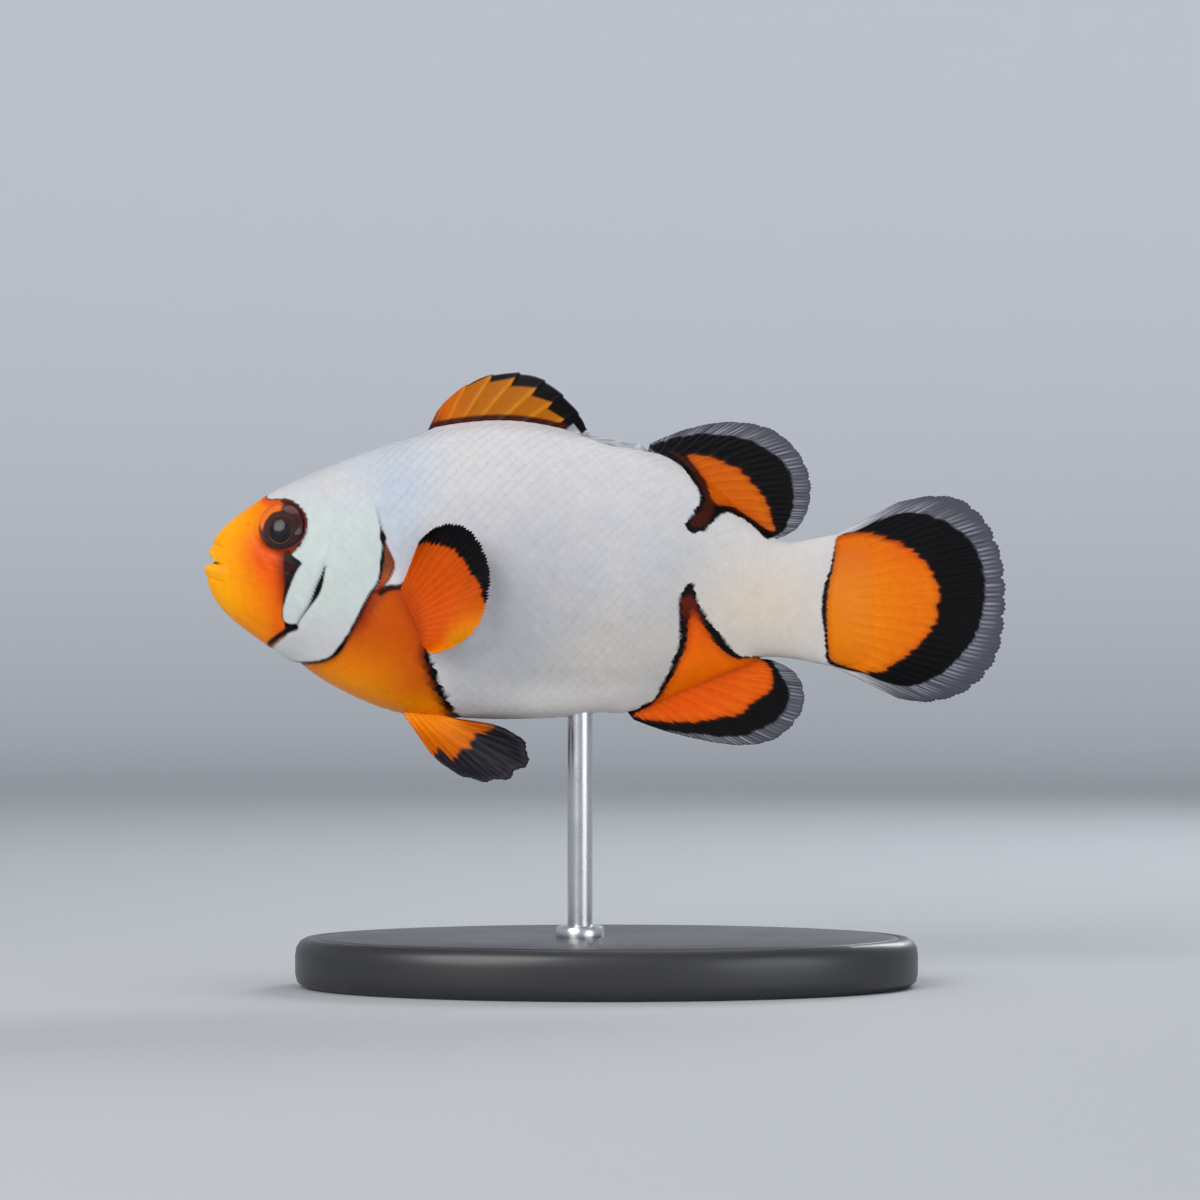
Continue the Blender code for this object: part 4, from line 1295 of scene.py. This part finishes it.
def domePoints(radii, around, height):
    # rings that are centred on the pupil inside and on the whole eye at the rim
    r, turn = gridOf(radii, fullTurn(around))
    shift = 1 - (r / eye["radius"]) ** 3
    x = r * np.cos(turn) + shift * eye["pupilShift"][0]
    z = r * np.sin(turn) + shift * eye["pupilShift"][1]
    return np.stack([x, -height(r, np.hypot(x, z)), z], axis=1), r, turn


def irisHeight(r, out):
    # under the cornea: a ring of flesh, a step down at the pupil and the ball of the lens in it
    flesh = corneaHeight(out) - mix(0.30, 0.03, ramp(1.5, 2.35, r)) + 0.02 * np.cos((r - 1.0) * 9)
    flesh -= eye["wall"] * ramp(eye["radius"], eye["radius"] + eye["wallWidth"], r)
    lens = corneaHeight(out) - 0.34 - 0.12 * (r / eye["pupil"]) ** 2
    return np.where(r < eye["pupil"], lens, flesh)


def makeEyes(ballMaterial, clearMaterial):
    pupil, radius = eye["pupil"], eye["radius"]
    radii = np.concatenate([
        np.linspace(0.02, pupil - 0.01, 16),
        np.linspace(pupil + 0.02, radius, 44),
        np.linspace(radius + 0.003, radius + eye["wallWidth"], 6),
    ])
    clear = np.linspace(0.02, eye["clearRadius"], 34)
    for side, word in ((-1, "left"), (1, "right")):
        local, r, turn = domePoints(radii, eye["ballAround"], irisHeight)
        faces = ringFaces(len(radii), eye["ballAround"], side < 0)
        ball = buildPiece(f"eyeball_{word}", eyePlace(side, local), faces, ballMaterial, paintEye(r, turn))
        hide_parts(f"eye_{word}")
        local = domePoints(clear, eye["clearAround"], lambda r, out: corneaHeight(out))[0]
        faces = ringFaces(len(clear), eye["clearAround"], side < 0)
        cornea = buildPiece(f"cornea_{word}", eyePlace(side, local), faces, clearMaterial)
    print("eyes done")


def paintEye(r, turn):
    pupil, radius = eye["pupil"], eye["radius"]
    wobble = r + 0.022 * np.sin(5 * turn + 1) + 0.014 * np.sin(11 * turn)
    streak = 0.5 + 0.5 * np.sin(46 * turn + 2 * np.sin(9 * turn))
    angle = (turn + 1.2) % (2 * math.pi) - 1.2
    sector = ramp(1.50, 1.75, angle) * ramp(3.35, 2.95, angle)
    ahead = ramp(1.5, 1.9, turn) * ramp(4.7, 4.2, turn)
    # maroon behind and below, orange in front and above; the side wall is like the skin in front of it
    return plain(
        "iris", r,
        ("irisStreak", 0.40 * streak),
        ("irisRing", 0.5 * hump(wobble - 2.12, 0.14)),
        ("irisOrange", sector * ramp(1.70, 1.92, wobble)),
        ("irisDark", ramp(1.92, 1.72, wobble)),
        ("irisBrown", 0.35 * hump(wobble - 1.48, 0.22)),
        ("pupilRim", hump(r - pupil - 0.05, 0.05) * (0.10 + 0.50 * ramp(0.1, 0.9, -np.sin(turn + 0.15)))),
        ("pupil", ramp(pupil + 0.02, pupil - 0.03, r)),
        ("irisEdge", 0.7 * ramp(2.24, 2.34, r) * (1 - sector)),
        ("socket", ahead * ramp(radius - 0.02, radius + 0.005, r)),
    )


def eyeMaterials():
    ball, shader = newMaterial("eye_iris", {"Roughness": 0.45, "Specular IOR Level": 0.2})
    paint = addNode(ball.node_tree, "Attribute", attribute_name="paint")
    wire(paint, "Color", shader, "Base Color")
    addBump(shader, 0.00012, 0.000006)
    cornea = bpy.data.materials.new("eye_clear")
    cornea.use_nodes = True
    tree = cornea.node_tree
    tree.nodes.remove(tree.nodes["Principled BSDF"])
    clear = addNode(tree, "BsdfTransparent")
    gloss = addNode(tree, "BsdfGlossy", {"Roughness": 0.04})
    facing = addNode(tree, "Fresnel", {"IOR": 1.38})
    both = addNode(tree, "MixShader")
    wire(facing, "Fac", both, "Fac")
    wire(clear, "BSDF", both, 1)
    wire(gloss, "BSDF", both, 2)
    wire(both, "Shader", tree.nodes["Material Output"], "Surface")
    return ball, cornea


# Stand
stand = {
    "segments": 224,
    "stemSegments": 72,
    "collarSegments": 96,
    # share of the base's half size, height in metres; the shallow line near the edge is a turned bead
    "profile": [
        (0.0, 0.0), (0.955, 0.0), (0.975, 0.00015), (0.994, 0.0006), (1.0, 0.0014), (1.0, 0.0032),
        (0.996, 0.004), (0.984, 0.0046), (0.966, 0.0049), (0.945, 0.0049), (0.938, 0.00478),
        (0.931, 0.0049), (0.915, 0.005), (0.5, 0.005), (0.0, 0.005),
    ],
    "lacquer": (0.022, 0.022, 0.025, 1),
    "steel": (0.60, 0.60, 0.62, 1),
    "collarRadius": 0.0024,
    "collarHeight": 0.0011,
    "collarTuck": 0.0004,  # how far the collar goes down into the base
    "sharp": 35,  # degrees between faces that shade apart
}


def lathe(name, profile, middle, sizes, segments, material):
    # profile of (share of the half size, height), turned round an upright axis into an oval
    shares, heights = np.array(profile).T
    share, turn = gridOf(np.maximum(shares, 1e-4), fullTurn(segments))
    x = middle[0] + share * sizes[0] * np.cos(turn)
    y = middle[1] + share * sizes[1] * np.sin(turn)
    points = np.stack([x, y, middle[2] + np.repeat(heights, segments)], axis=1)
    return buildPiece(name, points, ringFaces(len(profile), segments), material, sharp=stand["sharp"])


def makeStand():
    low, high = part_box("stand_base")
    lacquer, shader = newMaterial(
        "stand_lacquer", {"Roughness": 0.38, "Coat Weight": 0.15, "Base Color": stand["lacquer"]})
    addRoughness(shader, 0.009, 0.34, 0.43)
    addBump(shader, 0.0004, 0.000001)
    middle = ((low.x + high.x) / 2, (low.y + high.y) / 2, low.z)
    sizes = ((high.x - low.x) / 2, (high.y - low.y) / 2)
    base = lathe("stand_plinth", stand["profile"], middle, sizes, stand["segments"], lacquer)
    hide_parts("stand_base")
    steel, shader = newMaterial(
        "stand_brushed_steel", {"Roughness": 0.28, "Metallic": 1.0, "Base Color": stand["steel"]})
    addRoughness(shader, 0.003, 0.24, 0.32)
    addBump(shader, 0.00010, 0.0000015, stretch=(1, 1, 20))
    bottom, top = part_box("stand_rod")
    radius = (top.x - bottom.x) / 2
    tall = top.z - bottom.z
    profile = [(0, 0), (0.9, 0), (1, 0.0001), (1, tall - 0.0001), (0.9, tall), (0, tall)]
    rod = lathe("stand_stem", profile, (rodX, 0.0, bottom.z), (radius, radius), stand["stemSegments"], steel)
    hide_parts("stand_rod")
    r, h, tuck = stand["collarRadius"], stand["collarHeight"], -stand["collarTuck"]
    profile = [(0.55, tuck), (0.97, tuck), (1, 0.0), (1, h * 0.7), (0.94, h * 0.93), (0.86, h), (0.62, h),
               (0.55, h * 0.9)]
    collar = lathe("stand_collar", profile, (rodX, 0.0, high.z), (r, r), stand["collarSegments"], steel)
    print("stand done")


# Room: floor, light and camera
room = {
    "floor": (0.50, 0.52, 0.54, 1),
    "wall": (0.84, 0.86, 0.89, 1),
    "ambient": (0.87, 0.91, 1.0, 1),
    "ambientStrength": 0.38,
    "level": 0.62,  # radius of the flat part of the floor
    "bend": 0.34,
    "bendSteps": 12,
    "around": 96,
    "top": 0.62,
    "paler": (0.62, 0.98),  # how far from the stand the paper turns from floor to wall
    "glowing": (0.38, 0.72),
    "wallGlow": 0.10,  # the paper's own light where it bends up
    "frameWidth": 0.1195,  # what the camera takes in at the fish
    "lens": 135.0,
    "sensor": 36,
    "aim": (-0.00065, 0.0, 0.0385),
    # name, place, size, watts, spread in degrees, colour
    "lamps": [
        ("key", (-0.30, -0.48, 0.30), 0.42, 1.30, 130, (1.0, 0.98, 0.95)),
        ("fill", (0.44, -0.46, 0.03), 0.45, 0.76, 125, (0.94, 0.97, 1.0)),
        ("top", (0.05, 0.02, 0.52), 0.34, 0.5, 180, (1.0, 1.0, 1.0)),
        ("rim", (0.25, 0.35, 0.28), 0.22, 0.48, 120, (0.95, 0.98, 1.0)),
    ],
}


def paperMaterial():
    # the paper grows paler away from the stand, where less light falls on it
    paper, shader = newMaterial("backdrop_paper", {
        "Roughness": 0.75, "Emission Color": room["ambient"], "Specular IOR Level": 0.0})
    tree = paper.node_tree
    spot = addNode(tree, "TexCoord")
    away = addNode(tree, "VectorMath", operation="LENGTH")
    wire(spot, "Object", away, 0)
    share = rangeNode(away, "Value", room["paler"], (0, 1), "SMOOTHSTEP")
    glow = rangeNode(away, "Value", room["glowing"], (0, room["wallGlow"]), "SMOOTHSTEP")
    tone = addNode(tree, "Mix", data_type="RGBA")
    setSockets(tone, {"A": room["floor"], "B": room["wall"]})
    wire(glow, "Result", shader, "Emission Strength")
    wire(share, "Result", tone, "Factor")
    wire(tone, "Result", shader, "Base Color")
    return paper


def makeRoom():
    # a sheet that is flat in the middle and bends up all round
    level, bend = room["level"], room["bend"]
    profile = [(0.001, 0.0), (level, 0.0)]
    for step in range(1, room["bendSteps"] + 1):
        angle = step * math.pi / (2 * room["bendSteps"])
        profile.append((level + bend * math.sin(angle), bend * (1 - math.cos(angle))))
    profile.append((level + bend, room["top"]))
    turns = fullTurn(room["around"])
    points = [(r * math.cos(turn), r * math.sin(turn), z) for r, z in profile for turn in turns]
    faces = gridFaces(len(profile), len(turns), closed=True).tolist() + [list(range(len(turns)))]
    floor = newObject("backdrop", newMesh("backdrop", points, faces, paperMaterial()))
    world = bpy.data.worlds.new("soft_room")
    world.use_nodes = True
    sky = world.node_tree.nodes["Background"]
    setSockets(sky, {"Color": room["ambient"], "Strength": room["ambientStrength"]})
    bpy.context.scene.world = world
    for name, place, size, watts, spread, colour in room["lamps"]:
        light = bpy.data.lights.new(name, "AREA")
        light.shape, light.size, light.energy, light.color = "DISK", size, watts, colour
        light.spread = math.radians(spread)
        lamp = newObject(name, light)
        lamp.location = place
        lamp.visible_camera = False
        pointAt(lamp, room["aim"])
    print("room done")


def pointAt(thing, target):
    thing.rotation_euler = (Vector(target) - thing.location).to_track_quat("-Z", "Y").to_euler()


def makeCamera():
    data = bpy.data.cameras.new("camera")
    data.lens, data.sensor_width = room["lens"], room["sensor"]
    data.clip_start, data.clip_end = 0.01, 10
    camera = newObject("camera", data)
    aimX, aimY, aimZ = room["aim"]
    camera.location = (aimX, aimY - room["frameWidth"] * data.lens / data.sensor_width, aimZ)
    pointAt(camera, room["aim"])
    bpy.context.scene.camera = camera
    bpy.context.scene.view_settings.view_transform = "Standard"
    print("camera done")


makeRoom()
makeCamera()
makeSkin(fleshMaterial("skin", skin["look"]))
makeScales(fleshMaterial("scales", scale["look"]))
makeFins(fleshMaterial("fins", finLook))
makeEyes(*eyeMaterials())
makeStand()

print("all pieces made")
